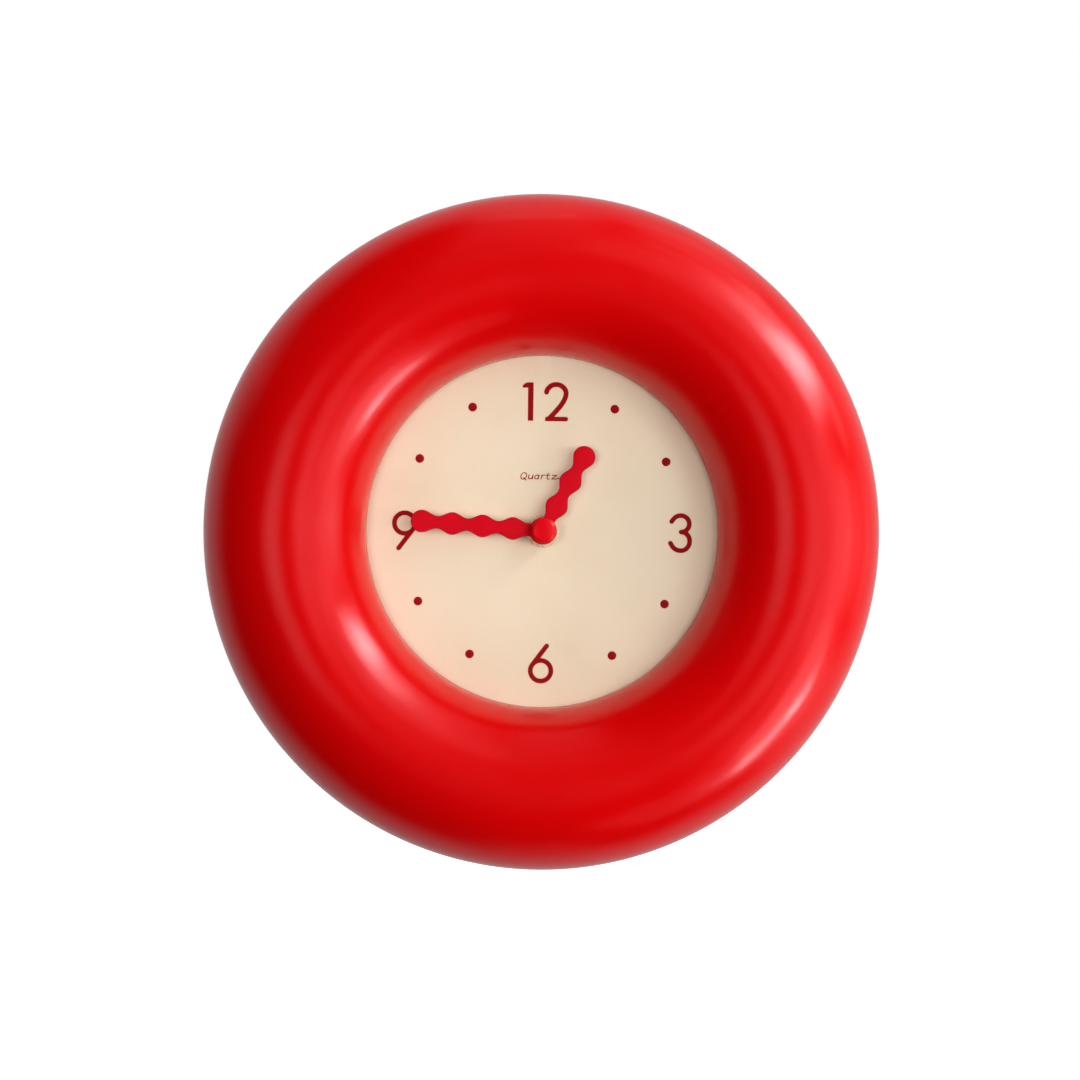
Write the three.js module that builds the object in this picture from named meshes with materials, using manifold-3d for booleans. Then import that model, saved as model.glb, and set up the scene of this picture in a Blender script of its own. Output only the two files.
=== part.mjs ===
// Quartz wall clock: a fat hollow ring of two moulded half shells around a deep-set dial, with the movement bolted through the middle of the dial.
// Millimetres, +Z up (12 o'clock), the front faces -Y and the wall is the plane Y = 0. The origin is where the wall nail bears in the keyhole.
// Inside the group everything is measured from the clock's own axis, which is parallel to Y.
import * as THREE from "three";
import { mergeVertices } from "three/addons/utils/BufferGeometryUtils.js";
import Module from "manifold-3d";

// ---- driving dimensions (mm) ----
const HANG = 112; // the nail's bearing point above the clock's axis
const RING_R = 114, // radius of the tube's centre circle
  TUBE_R = 36, // radius of the tube's section on the front half
  WALL = 2.5, // shell wall
  SPLIT_Y = -22, // plane where the two shells meet
  SPLIT_GAP = 0.15, // half of the seam's width
  BACK_R = 134, // the flat back starts inside this radius
  OPENING_R = 46; // opening in the back for the movement
const DIAL_R = 83.5,
  DIAL_FRONT = -21.85,
  DIAL_BACK = -19.85,
  HOLE_R = 4.2; // clearance hole for the threaded bushing
const SCREW_R = 114,
  SCREW_COUNT = 6;
const BEAD = 5, // radius of a bead of a hand
  WAIST = 2.75, // half width between two beads
  MINUTE_PITCH = 13.4,
  HOUR_PITCH = 12.5,
  MINUTE_BEADS = 4,
  HOUR_BEADS = 3,
  HAND_THICK = 0.6;
const MINUTE_ANGLE = 273.9, // degrees clockwise from 12 at rest
  HOUR_ANGLE = 28.6;
const MOVEMENT = 56, // side of the square movement
  MOVEMENT_FRONT = -18.45,
  MOVEMENT_BACK = -2.45;
const RING_SEGS = 48;
// gear train: teeth and modules
const M_MOTION = 0.4, // cannon pinion, motion wheel, hour wheel, setting pinion
  M_CENTRE = 0.32, // centre wheel and the third wheel's pinion
  M_THIRD = (34 * M_CENTRE) / 36, // third wheel and the seconds wheel's pinion
  M_FAST = 0.3; // seconds wheel, intermediate wheel, rotor
const AX_MOTION = polar(20 * M_MOTION, 100),
  AX_KNOB = polar(40 * M_MOTION, 100),
  AX_THIRD = polar(34 * M_CENTRE, 180),
  AX_INTER = polar(36 * M_FAST, -5),
  AX_ROTOR = add2(AX_INTER, polar(28 * M_FAST, 20));

const wasm = await Module();
wasm.setup();
const group = new THREE.Group();
group.name = "wall_clock";
const clock = new THREE.Group();
clock.position.set(0, 0, -HANG);
group.add(clock);

// ---- helpers ----
function polar(r, deg) {
  const a = (deg * Math.PI) / 180;
  return [r * Math.cos(a), r * Math.sin(a)];
}
function add2(a, b) {
  return [a[0] + b[0], a[1] + b[1]];
}
// position on a circle about the axis, clockwise from 12 o'clock
function clockwise(r, deg) {
  const a = (deg * Math.PI) / 180;
  return [r * Math.sin(a), r * Math.cos(a)];
}
// three.js geometry to a manifold solid
function solid(geometry) {
  const g = geometry.index ? geometry.toNonIndexed() : geometry.clone();
  g.deleteAttribute("normal");
  g.deleteAttribute("uv");
  const merged = mergeVertices(g, 1e-4);
  const idx = merged.index.array,
    keep = [];
  for (let i = 0; i < idx.length; i += 3) {
    const [a, b, c] = [idx[i], idx[i + 1], idx[i + 2]];
    if (a !== b && b !== c && c !== a) keep.push(a, b, c);
  }
  const make = (tris) =>
    new wasm.Manifold(
      new wasm.Mesh({
        numProp: 3,
        vertProperties: new Float32Array(merged.attributes.position.array),
        triVerts: new Uint32Array(tris),
      }),
    );
  let m = make(keep);
  if (m.volume() < 0) {
    for (let i = 0; i < keep.length; i += 3)
      [keep[i + 1], keep[i + 2]] = [keep[i + 2], keep[i + 1]];
    m = make(keep);
  }
  return m;
}
function place(geometry, x = 0, y = 0, z = 0) {
  return geometry.translate(x, y, z);
}
// ring or disc of any profile [[r, y], ...] about an axis parallel to Y
function lathe(profile, segs, x = 0, z = 0, close = true) {
  const pts = profile.map(([r, y]) => new THREE.Vector2(r, y));
  if (close && (profile[0][0] !== 0 || profile[profile.length - 1][0] !== 0))
    pts.push(pts[0].clone());
  return solid(place(new THREE.LatheGeometry(pts, segs), x, 0, z));
}
function disc(r, y0, y1, segs = 24, x = 0, z = 0) {
  return solid(
    place(
      new THREE.CylinderGeometry(r, r, y1 - y0, segs),
      x,
      (y0 + y1) / 2,
      z,
    ),
  );
}
function tube(ri, ro, y0, y1, segs = 24, x = 0, z = 0) {
  return lathe(
    [
      [ri, y0],
      [ro, y0],
      [ro, y1],
      [ri, y1],
    ],
    segs,
    x,
    z,
  );
}
function box(x0, x1, y0, y1, z0, z1) {
  return solid(
    place(
      new THREE.BoxGeometry(x1 - x0, y1 - y0, z1 - z0),
      (x0 + x1) / 2,
      (y0 + y1) / 2,
      (z0 + z1) / 2,
    ),
  );
}
// outline [[x, z], ...] pushed along Y from y0 to y1
function slab(points, y0, y1, holes = []) {
  const shape = new THREE.Shape(points.map(([x, z]) => new THREE.Vector2(x, z)));
  for (const h of holes)
    shape.holes.push(new THREE.Path(h.map(([x, z]) => new THREE.Vector2(x, z))));
  const g = new THREE.ExtrudeGeometry(shape, {
    depth: y1 - y0,
    bevelEnabled: false,
    steps: 1,
  });
  g.rotateX(Math.PI / 2); // the outline's second axis becomes +Z, and the depth runs along -Y
  return solid(place(g, 0, y1, 0));
}
function circle(r, segs, x = 0, z = 0) {
  const out = [];
  for (let i = 0; i < segs; i++) {
    const a = (2 * Math.PI * i) / segs;
    out.push([x + r * Math.cos(a), z + r * Math.sin(a)]);
  }
  return out;
}
function roundedRect(x0, x1, z0, z1, r, n = 4) {
  const out = [];
  for (const [cx, cz, a0] of [
    [x1 - r, z1 - r, 0],
    [x0 + r, z1 - r, 90],
    [x0 + r, z0 + r, 180],
    [x1 - r, z0 + r, 270],
  ])
    for (let i = 0; i <= n; i++) out.push(add2([cx, cz], polar(r, a0 + (90 * i) / n)));
  return out;
}
function join(...parts) {
  return parts.reduce((a, b) => a.add(b));
}
function cut(body, ...tools) {
  return tools.reduce((a, b) => a.subtract(b), body);
}
function add(name, body, color, roughness, metalness) {
  const m = body.getMesh(),
    n = m.numProp,
    v = new Float32Array(m.numVert * 3);
  for (let i = 0; i < m.numVert; i++) {
    v[3 * i] = m.vertProperties[n * i];
    v[3 * i + 1] = m.vertProperties[n * i + 1];
    v[3 * i + 2] = m.vertProperties[n * i + 2];
  }
  const g = new THREE.BufferGeometry()
    .setAttribute("position", new THREE.BufferAttribute(v, 3))
    .setIndex(new THREE.BufferAttribute(new Uint32Array(m.triVerts), 1));
  g.computeVertexNormals();
  const mesh = new THREE.Mesh(
    g,
    new THREE.MeshStandardMaterial({ color, roughness, metalness }),
  );
  mesh.name = name;
  clock.add(mesh);
}
// outline of a spur gear about (x, z); phase is the angle of one tooth's centre in radians
function gear(teeth, module, x, z, phase, pinion = false) {
  const r = (teeth * module) / 2,
    step = (2 * Math.PI) / teeth,
    out = [];
  // radii with the half angle there as a share of the tooth pitch; a wheel's gaps are V-shaped
  const flank = pinion
    ? [
        [r - 1.3 * module, 0.19],
        [r + 0.6 * module, 0.1],
      ]
    : [[r + 0.85 * module, 0.085]];
  for (let k = 0; k < teeth; k++) {
    const a = phase + k * step;
    if (!pinion) out.push([x + (r - 1.25 * module) * Math.cos(a - step / 2), z + (r - 1.25 * module) * Math.sin(a - step / 2)]);
    for (const [rad, half] of flank)
      out.push([x + rad * Math.cos(a - half * step), z + rad * Math.sin(a - half * step)]);
    for (const [rad, half] of [...flank].reverse())
      out.push([x + rad * Math.cos(a + half * step), z + rad * Math.sin(a + half * step)]);
  }
  return out;
}
function angle(from, to) {
  return Math.atan2(to[1] - from[1], to[0] - from[0]);
}
// phases that put a tooth of the first gear into a gap of the second one
function phaseOf(from, to) {
  return angle(from, to);
}
function phaseInto(from, to, teeth) {
  return angle(from, to) + Math.PI + Math.PI / teeth;
}

// ---- case: front shell ----
{
  const pts = [],
    outer = 14,
    inner = 7,
    y0 = SPLIT_Y - SPLIT_GAP;
  const a0 = Math.asin(SPLIT_GAP / TUBE_R),
    b0 = Math.asin(SPLIT_GAP / (TUBE_R - WALL));
  for (let i = 0; i <= outer; i++) {
    const t = a0 + ((Math.PI - 2 * a0) * i) / outer;
    pts.push([RING_R + TUBE_R * Math.cos(t), SPLIT_Y - TUBE_R * Math.sin(t)]);
  }
  for (let i = 0; i <= inner; i++) {
    const t = Math.PI - b0 - ((Math.PI - 2 * b0) * i) / inner;
    pts.push([
      RING_R + (TUBE_R - WALL) * Math.cos(t),
      SPLIT_Y - (TUBE_R - WALL) * Math.sin(t),
    ]);
  }
  let shell = lathe(pts, RING_SEGS);
  for (let k = 0; k < SCREW_COUNT; k++) {
    const [x, z] = clockwise(SCREW_R, 30 + 60 * k);
    shell = join(shell, disc(4.2, -56.8, y0, 16, x, z));
  }
  for (let k = 0; k < SCREW_COUNT; k++) {
    const [x, z] = clockwise(SCREW_R, 30 + 60 * k);
    shell = cut(shell, disc(1.65, -36, y0 + 1, 12, x, z));
  }
  add("front_shell", shell, 0xc8101c, 0.3, 0);
}

// ---- case: rear shell ----
{
  const y0 = SPLIT_Y + SPLIT_GAP,
    ra = RING_R + TUBE_R - BACK_R, // half axes of the rear quarter, outside
    rb = -SPLIT_Y,
    ia = ra - WALL,
    ib = rb - WALL;
  const pts = [];
  const t0 = Math.asin(SPLIT_GAP / rb);
  for (let i = 0; i <= 6; i++) {
    const t = t0 + ((Math.PI / 2 - t0) * i) / 6;
    pts.push([BACK_R + ra * Math.cos(t), SPLIT_Y + rb * Math.sin(t)]);
  }
  pts.push([OPENING_R, 0], [OPENING_R, -6], [OPENING_R + 2, -6], [OPENING_R + 2, -WALL]);
  pts.push([79.3, -WALL], [79.3, -19.55], [81.3, -19.55], [81.3, -WALL]); // rib that backs the dial
  const t1 = Math.acos((144.9 - BACK_R) / ia);
  for (let i = 0; i <= 3; i++) {
    const t = Math.PI / 2 - ((Math.PI / 2 - t1) * i) / 3;
    pts.push([BACK_R + ia * Math.cos(t), SPLIT_Y + ib * Math.sin(t)]);
  }
  pts.push([144.9, -25], [146.3, -25], [146.3, y0]); // tongue inside the front shell
  let shell = lathe(pts, RING_SEGS);
  const holes = [];
  for (let k = 0; k < SCREW_COUNT; k++) {
    const [x, z] = clockwise(SCREW_R, 30 + 60 * k);
    shell = join(shell, disc(4.8, -21.7, -1, 16, x, z));
    holes.push(disc(3.4, -17.5, 1, 16, x, z), disc(1.75, -22, -17, 12, x, z));
  }
  // key that stops the dial turning
  shell = join(shell, box(-1.7, 1.7, -21.7, -15, 80.9, 84.2));
  // keyhole: the nail's head goes in below, and its shank bears on the top of the slot
  holes.push(
    disc(4.75, -4, 1, 24, 0, HANG - 12),
    disc(2.25, -4, 1, 16, 0, HANG - 2.25),
    box(-2.25, 2.25, -4, 1, HANG - 12, HANG - 2.25),
  );
  shell = cut(shell, ...holes);
  add("rear_shell", shell, 0xb80f1a, 0.35, 0);
}

// ---- dial ----
{
  let dial = cut(
    disc(DIAL_R, DIAL_BACK - 2, DIAL_BACK, RING_SEGS),
    disc(HOLE_R, DIAL_BACK - 3, DIAL_BACK + 1, 24),
    box(-2.1, 2.1, DIAL_BACK - 3, DIAL_BACK + 1, 80.5, 85),
  );
  add("dial_plate", dial, 0xf0e2c6, 0.6, 0);
}

// ---- screws that close the case ----
for (let k = 0; k < SCREW_COUNT; k++) {
  const [x, z] = clockwise(SCREW_R, 30 + 60 * k);
  let screw = lathe(
    [
      [0, -14.9],
      [1.9, -15.1],
      [2.8, -15.9],
      [2.8, -17.2],
      [1.4, -17.2],
      [1.4, -30.5],
      [0, -32],
    ],
    12,
    x,
    z,
    false,
  );
  screw = cut(
    screw,
    box(x - 1.6, x + 1.6, -16.1, -14, z - 0.3, z + 0.3),
    box(x - 0.3, x + 0.3, -16.1, -14, z - 1.6, z + 1.6),
  );
  add("case_screw_" + (k + 1), screw, 0x9a9da0, 0.35, 1);
}

// ---- movement: front case ----
{
  const h = MOVEMENT / 2,
    outline = roundedRect(-h, h, -h, h, 3);
  let body = slab(outline, MOVEMENT_FRONT, -3.95);
  const bay = slab(outline, -4.2, MOVEMENT_BACK).intersect(
    box(-40, 40, -10, 5, -40, -11.5),
  );
  body = join(body, bay);
  const wallY = MOVEMENT_FRONT + 1.2; // inner face of the front wall
  body = cut(
    body,
    slab(roundedRect(-27, 27, -10.9, 26.8, 0.3, 1), wallY, 0), // train and circuit
    box(-27, 27, -17.5, 0, -26.8, -11.7), // battery bay
    disc(HOLE_R, -20, -15, 24),
    box(-27, -25.9, -9.9, -6.1, -12, -10), // slots for the two contact strips
    box(25.9, 27, -9.9, -6.1, -12, -10),
  );
  const boss = (p, r, y1, hole, y0) =>
    cut(disc(r, wallY - 0.3, y1, 14, ...p), disc(hole, y0, y1 + 1, 12, ...p));
  body = join(
    body,
    boss(AX_THIRD, 1.3, -13.9, 0.6, -16.6),
    boss(AX_INTER, 1.3, -13.9, 0.6, -16.6),
    boss(AX_ROTOR, 1.5, -10, 0.6, -12),
    boss(AX_KNOB, 1.5, -15.3, 0.8, -16.7),
    disc(0.55, wallY - 0.3, -13.9, 12, ...AX_MOTION), // stud of the motion wheel
    disc(1.2, wallY - 0.3, -8.6, 12, -23, 15), // posts under the circuit board
    disc(1.2, wallY - 0.3, -8.6, 12, -12, 23),
  );
  add("movement_case", body, 0x1b1b1d, 0.5, 0);
}

// ---- movement: rear cover ----
{
  const h = MOVEMENT / 2;
  let cover = slab(roundedRect(-h, h, -h, h, 3), -3.65, MOVEMENT_BACK).intersect(
    box(-40, 40, -10, 5, -11.2, 40),
  );
  cover = join(
    cover,
    tube(2.0, 3.2, -5.2, -3.4, 16, ...AX_KNOB), // collar round the setting shaft
    box(h - 0.5, h + 1.1, -3.65, MOVEMENT_BACK, 2, 9),
    box(h + 0.3, h + 1.1, -9.5, MOVEMENT_BACK, 2, 9), // snap hooks over the case's sides
    box(-h - 1.1, -h + 0.5, -3.65, MOVEMENT_BACK, 2, 9),
    box(-h - 1.1, -h - 0.3, -9.5, MOVEMENT_BACK, 2, 9),
  );
  cover = cut(cover, disc(2.0, -6, 0, 16, ...AX_KNOB));
  add("movement_cover", cover, 0x202022, 0.5, 0);
}

// ---- movement: bridge that carries the rear pivots ----
{
  let bridge = slab(
    [
      [-23.5, -9.5],
      [24, -9.5],
      [24.5, 5],
      [14, 15],
      [10, 15],
      [-8, 10],
      [-17, 10],
      [-23.5, 4],
    ],
    -5.3,
    -4.3,
  );
  for (const p of [
    [-21.9, -7.9],
    [22.4, -7.9],
    [12, 13],
  ])
    bridge = join(bridge, disc(1.5, -16.9, -5, 12, ...p));
  for (const p of [[0, 0], AX_THIRD, AX_INTER, AX_ROTOR])
    bridge = cut(bridge, disc(0.6, -6, -3, 12, ...p));
  add("train_bridge", bridge, 0xe9e4d6, 0.5, 0);
}

// ---- fixing of the movement to the dial ----
add(
  "threaded_bushing",
  lathe(
    [
      [2.8, -26.4],
      [3.6, -26.4],
      [3.95, -26.0],
      [3.95, -16.95],
      [5.5, -16.95],
      [5.5, -16.35],
      [2.8, -16.35],
    ],
    18,
  ),
  0xc9a24a,
  0.3,
  1,
);
add("rubber_gasket", tube(4.3, 10, -19.55, -18.75, 24), 0x222222, 0.8, 0);
add("dial_washer", tube(4.25, 7.2, -22.65, -22.15, 24), 0xc9a24a, 0.3, 1);
{
  const hex = [];
  for (let i = 0; i < 6; i++) hex.push(polar(11 / Math.sqrt(3), 60 * i + 12));
  let nut = slab(hex, -25.0, -22.95).intersect(
    lathe(
      [
        [0, -25.0],
        [5.4, -25.0],
        [6.6, -24.3],
        [6.6, -22.95],
        [0, -22.95],
      ],
      24,
      0,
      0,
      false,
    ),
  );
  nut = cut(nut, disc(4.2, -26, -22, 24));
  add("bushing_nut", nut, 0xc9a24a, 0.3, 1);
}

// ---- battery and contacts ----
{
  const prof = [
    [0, -24.5],
    [6.4, -24.5],
    [7.0, -24.3],
    [7.25, -23.8],
    [7.25, 24.3],
    [6.9, 24.8],
    [2.75, 24.9],
    [2.75, 25.9],
    [2.4, 26.0],
    [0, 26.0],
  ];
  const g = new THREE.LatheGeometry(
    prof.map(([r, y]) => new THREE.Vector2(r, y)),
    24,
  );
  g.rotateZ(-Math.PI / 2);
  add("battery_aa", solid(place(g, 0, -9.95, -19.25)), 0x2a5fa8, 0.35, 0.4);
}
add(
  "positive_contact",
  join(
    box(26.3, 26.7, -14.5, -5, -24.5, -14),
    box(26.3, 26.7, -9.5, -6.5, -15, 26.5),
    box(-21, 26.7, -9.5, -6.5, 26.1, 26.5),
  ),
  0xc4c6c8,
  0.25,
  1,
);
add(
  "negative_contact",
  join(
    // spring tongue pressed out towards the battery
    slab(
      [
        [-26.7, -24.5],
        [-26.3, -24.5],
        [-25.2, -21.5],
        [-24.8, -19.3],
        [-25.2, -17.1],
        [-26.3, -14],
        [-26.7, -14],
        [-25.6, -17.2],
        [-25.2, -19.3],
        [-25.6, -21.4],
      ],
      -13,
      -7,
    ),
    box(-26.7, -26.3, -14.5, -5, -24.6, -23.9),
    box(-26.7, -26.3, -14.5, -5, -14.6, -13.9),
    box(-26.7, -26.3, -9.5, -6.5, -14.5, 16),
  ),
  0xc4c6c8,
  0.25,
  1,
);

// ---- circuit ----
add(
  "circuit_board",
  slab(
    [
      [-25.8, 12],
      [-8, 12],
      [-8, 25.7],
      [-25.8, 25.7],
    ],
    -8.3,
    -7.5,
  ),
  0x8a6a3a,
  0.6,
  0,
);
add(
  "chip_blob",
  lathe(
    [
      [0, -9.7],
      [1.4, -9.5],
      [2.3, -9.0],
      [2.6, -8.6],
      [0, -8.6],
    ],
    16,
    -15,
    18,
    false,
  ),
  0x111111,
  0.3,
  0,
);
{
  const g = new THREE.CylinderGeometry(1, 1, 6, 14);
  g.rotateX(Math.PI / 2);
  add("quartz_crystal", solid(place(g, -22, -9.7, 20.5)), 0xd0d2d4, 0.2, 1);
}

// ---- stepping motor ----
{
  const turn = (prof, x) => {
    const g = new THREE.LatheGeometry(
      prof.map(([r, y]) => new THREE.Vector2(r, y)),
      20,
    );
    g.rotateZ(-Math.PI / 2);
    return solid(place(g, x, -8.2, 21.5));
  };
  add(
    "coil_bobbin",
    turn(
      [
        [1.45, 0],
        [4, 0],
        [4, 0.8],
        [1.9, 0.8],
        [1.9, 12.7],
        [4, 12.7],
        [4, 13.5],
        [1.45, 13.5],
        [1.45, 0],
      ],
      7.5,
    ),
    0xe6dfcf,
    0.5,
    0,
  );
  add(
    "coil_winding",
    turn(
      [
        [2.1, 0],
        [3.7, 0],
        [3.7, 11.3],
        [2.1, 11.3],
        [2.1, 0],
      ],
      8.6,
    ),
    0xb5622a,
    0.35,
    0.9,
  );
  add(
    "coil_core",
    join(
      box(3.4, 25.3, -8.7, -7.7, 20.5, 22.5),
      box(3.4, 6.6, -8.7, -7.7, 19.7, 23.3),
      box(22, 25.3, -8.7, -7.7, 19.7, 23.3),
    ),
    0x8d8f92,
    0.4,
    1,
  );
  const stator = cut(
    join(
      disc(5.4, -7.4, -6.4, 24, ...AX_ROTOR),
      slab(
        [
          [13.4, 0.6],
          [16.5, 5.5],
          [6.5, 15.2],
          [6.5, 23.3],
          [3.5, 23.3],
          [3.5, 13.8],
        ],
        -7.4,
        -6.4,
      ),
      slab(
        [
          [23.9, 1.5],
          [25, 14.5],
          [25, 23.3],
          [22, 23.3],
          [22, 15],
          [20.5, 5],
        ],
        -7.4,
        -6.4,
      ),
    ),
    disc(3.5, -8, -6, 24, ...AX_ROTOR),
  );
  add("stator", stator, 0x8d8f92, 0.4, 1);
  add(
    "rotor_magnet",
    tube(0.8, 3.0, -7.9, -6.0, 20, ...AX_ROTOR),
    0x4a4c50,
    0.4,
    0.8,
  );
  add(
    "rotor_pinion",
    join(
      disc(0.4, -11.6, -4.6, 12, ...AX_ROTOR),
      disc(0.6, -9.7, -5.8, 12, ...AX_ROTOR),
      slab(gear(8, M_FAST, ...AX_ROTOR, phaseOf(AX_ROTOR, AX_INTER), true), -9.4, -8.2),
    ),
    0xf2efe6,
    0.5,
    0,
  );
}

// ---- gear train ----
const C = [0, 0];
add(
  "intermediate_wheel",
  join(
    slab(
      gear(48, M_FAST, ...AX_INTER, phaseInto(AX_ROTOR, AX_INTER, 48)),
      -9.1,
      -8.5,
    ),
    slab(gear(12, M_FAST, ...AX_INTER, phaseOf(AX_INTER, C), true), -10.7, -9.0),
    disc(0.4, -16.3, -4.6, 12, ...AX_INTER),
    disc(0.6, -8.6, -5.8, 12, ...AX_INTER),
  ),
  0xf2efe6,
  0.5,
  0,
);
add(
  "seconds_wheel",
  join(
    slab(gear(60, M_FAST, 0, 0, phaseInto(AX_INTER, C, 60)), -10.4, -9.8),
    slab(gear(8, M_THIRD, 0, 0, phaseOf(C, AX_THIRD), true), -12.0, -10.3),
    disc(0.4, -14.4, -4.6, 12),
    disc(0.6, -9.9, -5.8, 12),
  ),
  0xf2efe6,
  0.5,
  0,
);
add(
  "third_wheel",
  join(
    slab(
      gear(64, M_THIRD, ...AX_THIRD, phaseInto(C, AX_THIRD, 64)),
      -11.8,
      -11.1,
    ),
    slab(gear(8, M_CENTRE, ...AX_THIRD, phaseOf(AX_THIRD, C), true), -13.5, -11.7),
    disc(0.4, -16.3, -4.6, 12, ...AX_THIRD),
    disc(0.6, -11.2, -5.8, 12, ...AX_THIRD),
  ),
  0xf2efe6,
  0.5,
  0,
);
add(
  "centre_wheel",
  cut(
    join(
      slab(gear(60, M_CENTRE, 0, 0, phaseInto(AX_THIRD, C, 60)), -13.3, -12.6),
      slab(gear(10, M_MOTION, 0, 0, phaseOf(C, AX_MOTION), true), -14.7, -13.2),
      disc(1.5, -33.0, -12.4, 16),
    ),
    disc(0.65, -14.8, -12, 12),
  ),
  0xc9a24a,
  0.35,
  1,
);
const motionPhase = phaseInto(C, AX_MOTION, 30);
add(
  "motion_wheel",
  cut(
    join(
      slab(gear(30, M_MOTION, ...AX_MOTION, motionPhase), -14.6, -13.8),
      slab(gear(8, M_MOTION, ...AX_MOTION, phaseOf(AX_MOTION, C), true), -16.2, -14.5),
    ),
    disc(0.72, -17, -13, 12, ...AX_MOTION),
  ),
  0xf2efe6,
  0.5,
  0,
);
add(
  "hour_wheel",
  cut(
    join(
      slab(gear(32, M_MOTION, 0, 0, phaseInto(AX_MOTION, C, 32)), -16.0, -15.0),
      disc(2.5, -29.0, -15.2, 20),
    ),
    disc(1.8, -30, -14, 16),
  ),
  0xf2efe6,
  0.5,
  0,
);
{
  // the motion wheel drives the setting pinion on its far side
  const dir = angle(AX_MOTION, AX_KNOB),
    pitch = (2 * Math.PI) / 30,
    off = (((dir - motionPhase) % pitch) + pitch) % pitch,
    phase = dir + Math.PI + off * 3 + Math.PI / 10;
  const rim = [];
  for (let i = 0; i < 48; i++)
    rim.push(add2(AX_KNOB, polar(i % 2 ? 6.5 : 6.15, (360 * i) / 48)));
  let knob = join(
    slab(gear(10, M_MOTION, ...AX_KNOB, phase, true), -14.9, -13.5),
    disc(0.6, -16.4, -14, 12, ...AX_KNOB),
    disc(1.5, -13.7, -1.5, 14, ...AX_KNOB),
    slab(rim, -2.1, -0.7),
  );
  knob = cut(
    knob,
    box(AX_KNOB[0] - 4.6, AX_KNOB[0] + 4.6, -1.3, 0, AX_KNOB[1] - 0.7, AX_KNOB[1] + 0.7),
  );
  add("setting_knob", knob, 0xe8e6e0, 0.5, 0);
}

// ---- hands ----
// outline of a chain of beads from the hub outwards, turned clockwise from 12
function chain(pitch, beads, deg) {
  const half = (s) =>
    (BEAD + WAIST) / 2 + ((BEAD - WAIST) / 2) * Math.cos((2 * Math.PI * s) / pitch);
  const side = [],
    per = 6,
    n = per * beads;
  for (let i = 1; i < n; i++) side.push([half((i * pitch) / per), (i * pitch) / per]);
  const tip = [],
    hub = [];
  for (let i = 0; i <= 8; i++) {
    const a = (Math.PI * i) / 8;
    tip.push([BEAD * Math.cos(a), beads * pitch + BEAD * Math.sin(a)]);
    hub.push([-BEAD * Math.cos(a), -BEAD * Math.sin(a)]);
  }
  const all = [...side, ...tip, ...side.map(([x, z]) => [-x, z]).reverse(), ...hub];
  const a = (deg * Math.PI) / 180;
  return all.map(([x, z]) => [
    x * Math.cos(a) + z * Math.sin(a),
    -x * Math.sin(a) + z * Math.cos(a),
  ]);
}
const HOUR_Y = -28.4,
  MINUTE_Y = -31.2;
add(
  "hour_hand",
  cut(
    slab(chain(HOUR_PITCH, HOUR_BEADS, HOUR_ANGLE), HOUR_Y, HOUR_Y + HAND_THICK),
    disc(3.45, -40, -20, 20),
  ),
  0xd8001c,
  0.35,
  0,
);
add(
  "hour_hand_bush",
  lathe(
    [
      [2.65, -28.6],
      [3.2, -28.6],
      [3.2, -27.3],
      [4.2, -27.3],
      [4.2, -26.8],
      [2.65, -26.8],
    ],
    16,
  ),
  0xc9a24a,
  0.3,
  1,
);
add(
  "minute_hand",
  cut(
    slab(chain(MINUTE_PITCH, MINUTE_BEADS, MINUTE_ANGLE), MINUTE_Y, MINUTE_Y + HAND_THICK),
    disc(2.5, -40, -20, 18),
  ),
  0xd8001c,
  0.35,
  0,
);
add(
  "minute_hand_bush",
  lathe(
    [
      [1.68, -31.35],
      [2.25, -31.35],
      [2.25, -30.1],
      [3.3, -30.1],
      [3.3, -29.6],
      [1.68, -29.6],
    ],
    14,
  ),
  0xc9a24a,
  0.3,
  1,
);
add(
  "hand_cap",
  lathe(
    [
      [0, -36.0],
      [2.4, -35.75],
      [4.2, -35.0],
      [5.6, -33.7],
      [6.1, -32.4],
      [6.1, -31.65],
      [1.75, -31.65],
      [1.75, -33.4],
      [0, -33.4],
    ],
    20,
    0,
    0,
    false,
  ),
  0xe00018,
  0.3,
  0,
);

export default group;
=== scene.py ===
import math

import bmesh
import bpy
import numpy as np
from mathutils import Matrix, Vector
from mathutils.geometry import tessellate_polygon


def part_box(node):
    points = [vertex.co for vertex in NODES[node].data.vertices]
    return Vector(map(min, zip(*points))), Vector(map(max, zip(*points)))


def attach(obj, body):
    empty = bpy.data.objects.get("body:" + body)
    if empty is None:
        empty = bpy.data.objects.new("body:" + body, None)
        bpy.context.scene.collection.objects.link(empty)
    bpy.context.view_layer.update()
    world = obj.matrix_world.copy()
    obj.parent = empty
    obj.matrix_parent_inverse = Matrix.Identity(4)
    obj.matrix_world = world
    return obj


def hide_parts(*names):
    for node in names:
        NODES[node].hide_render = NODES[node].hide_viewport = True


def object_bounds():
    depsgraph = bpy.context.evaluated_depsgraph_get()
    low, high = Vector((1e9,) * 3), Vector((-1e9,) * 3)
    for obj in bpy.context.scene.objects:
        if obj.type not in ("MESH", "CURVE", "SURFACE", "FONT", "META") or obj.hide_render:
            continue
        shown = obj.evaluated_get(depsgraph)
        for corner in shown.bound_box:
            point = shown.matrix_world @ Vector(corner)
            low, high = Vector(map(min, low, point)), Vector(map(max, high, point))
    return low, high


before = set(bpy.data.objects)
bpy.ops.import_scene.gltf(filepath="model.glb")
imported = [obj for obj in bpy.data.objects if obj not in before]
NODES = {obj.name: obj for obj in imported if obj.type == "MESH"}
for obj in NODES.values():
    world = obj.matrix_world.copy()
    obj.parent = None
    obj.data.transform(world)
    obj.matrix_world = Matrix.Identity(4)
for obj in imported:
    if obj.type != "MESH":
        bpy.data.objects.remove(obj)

cad_lo, cad_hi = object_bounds()
MM = 0.001

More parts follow.
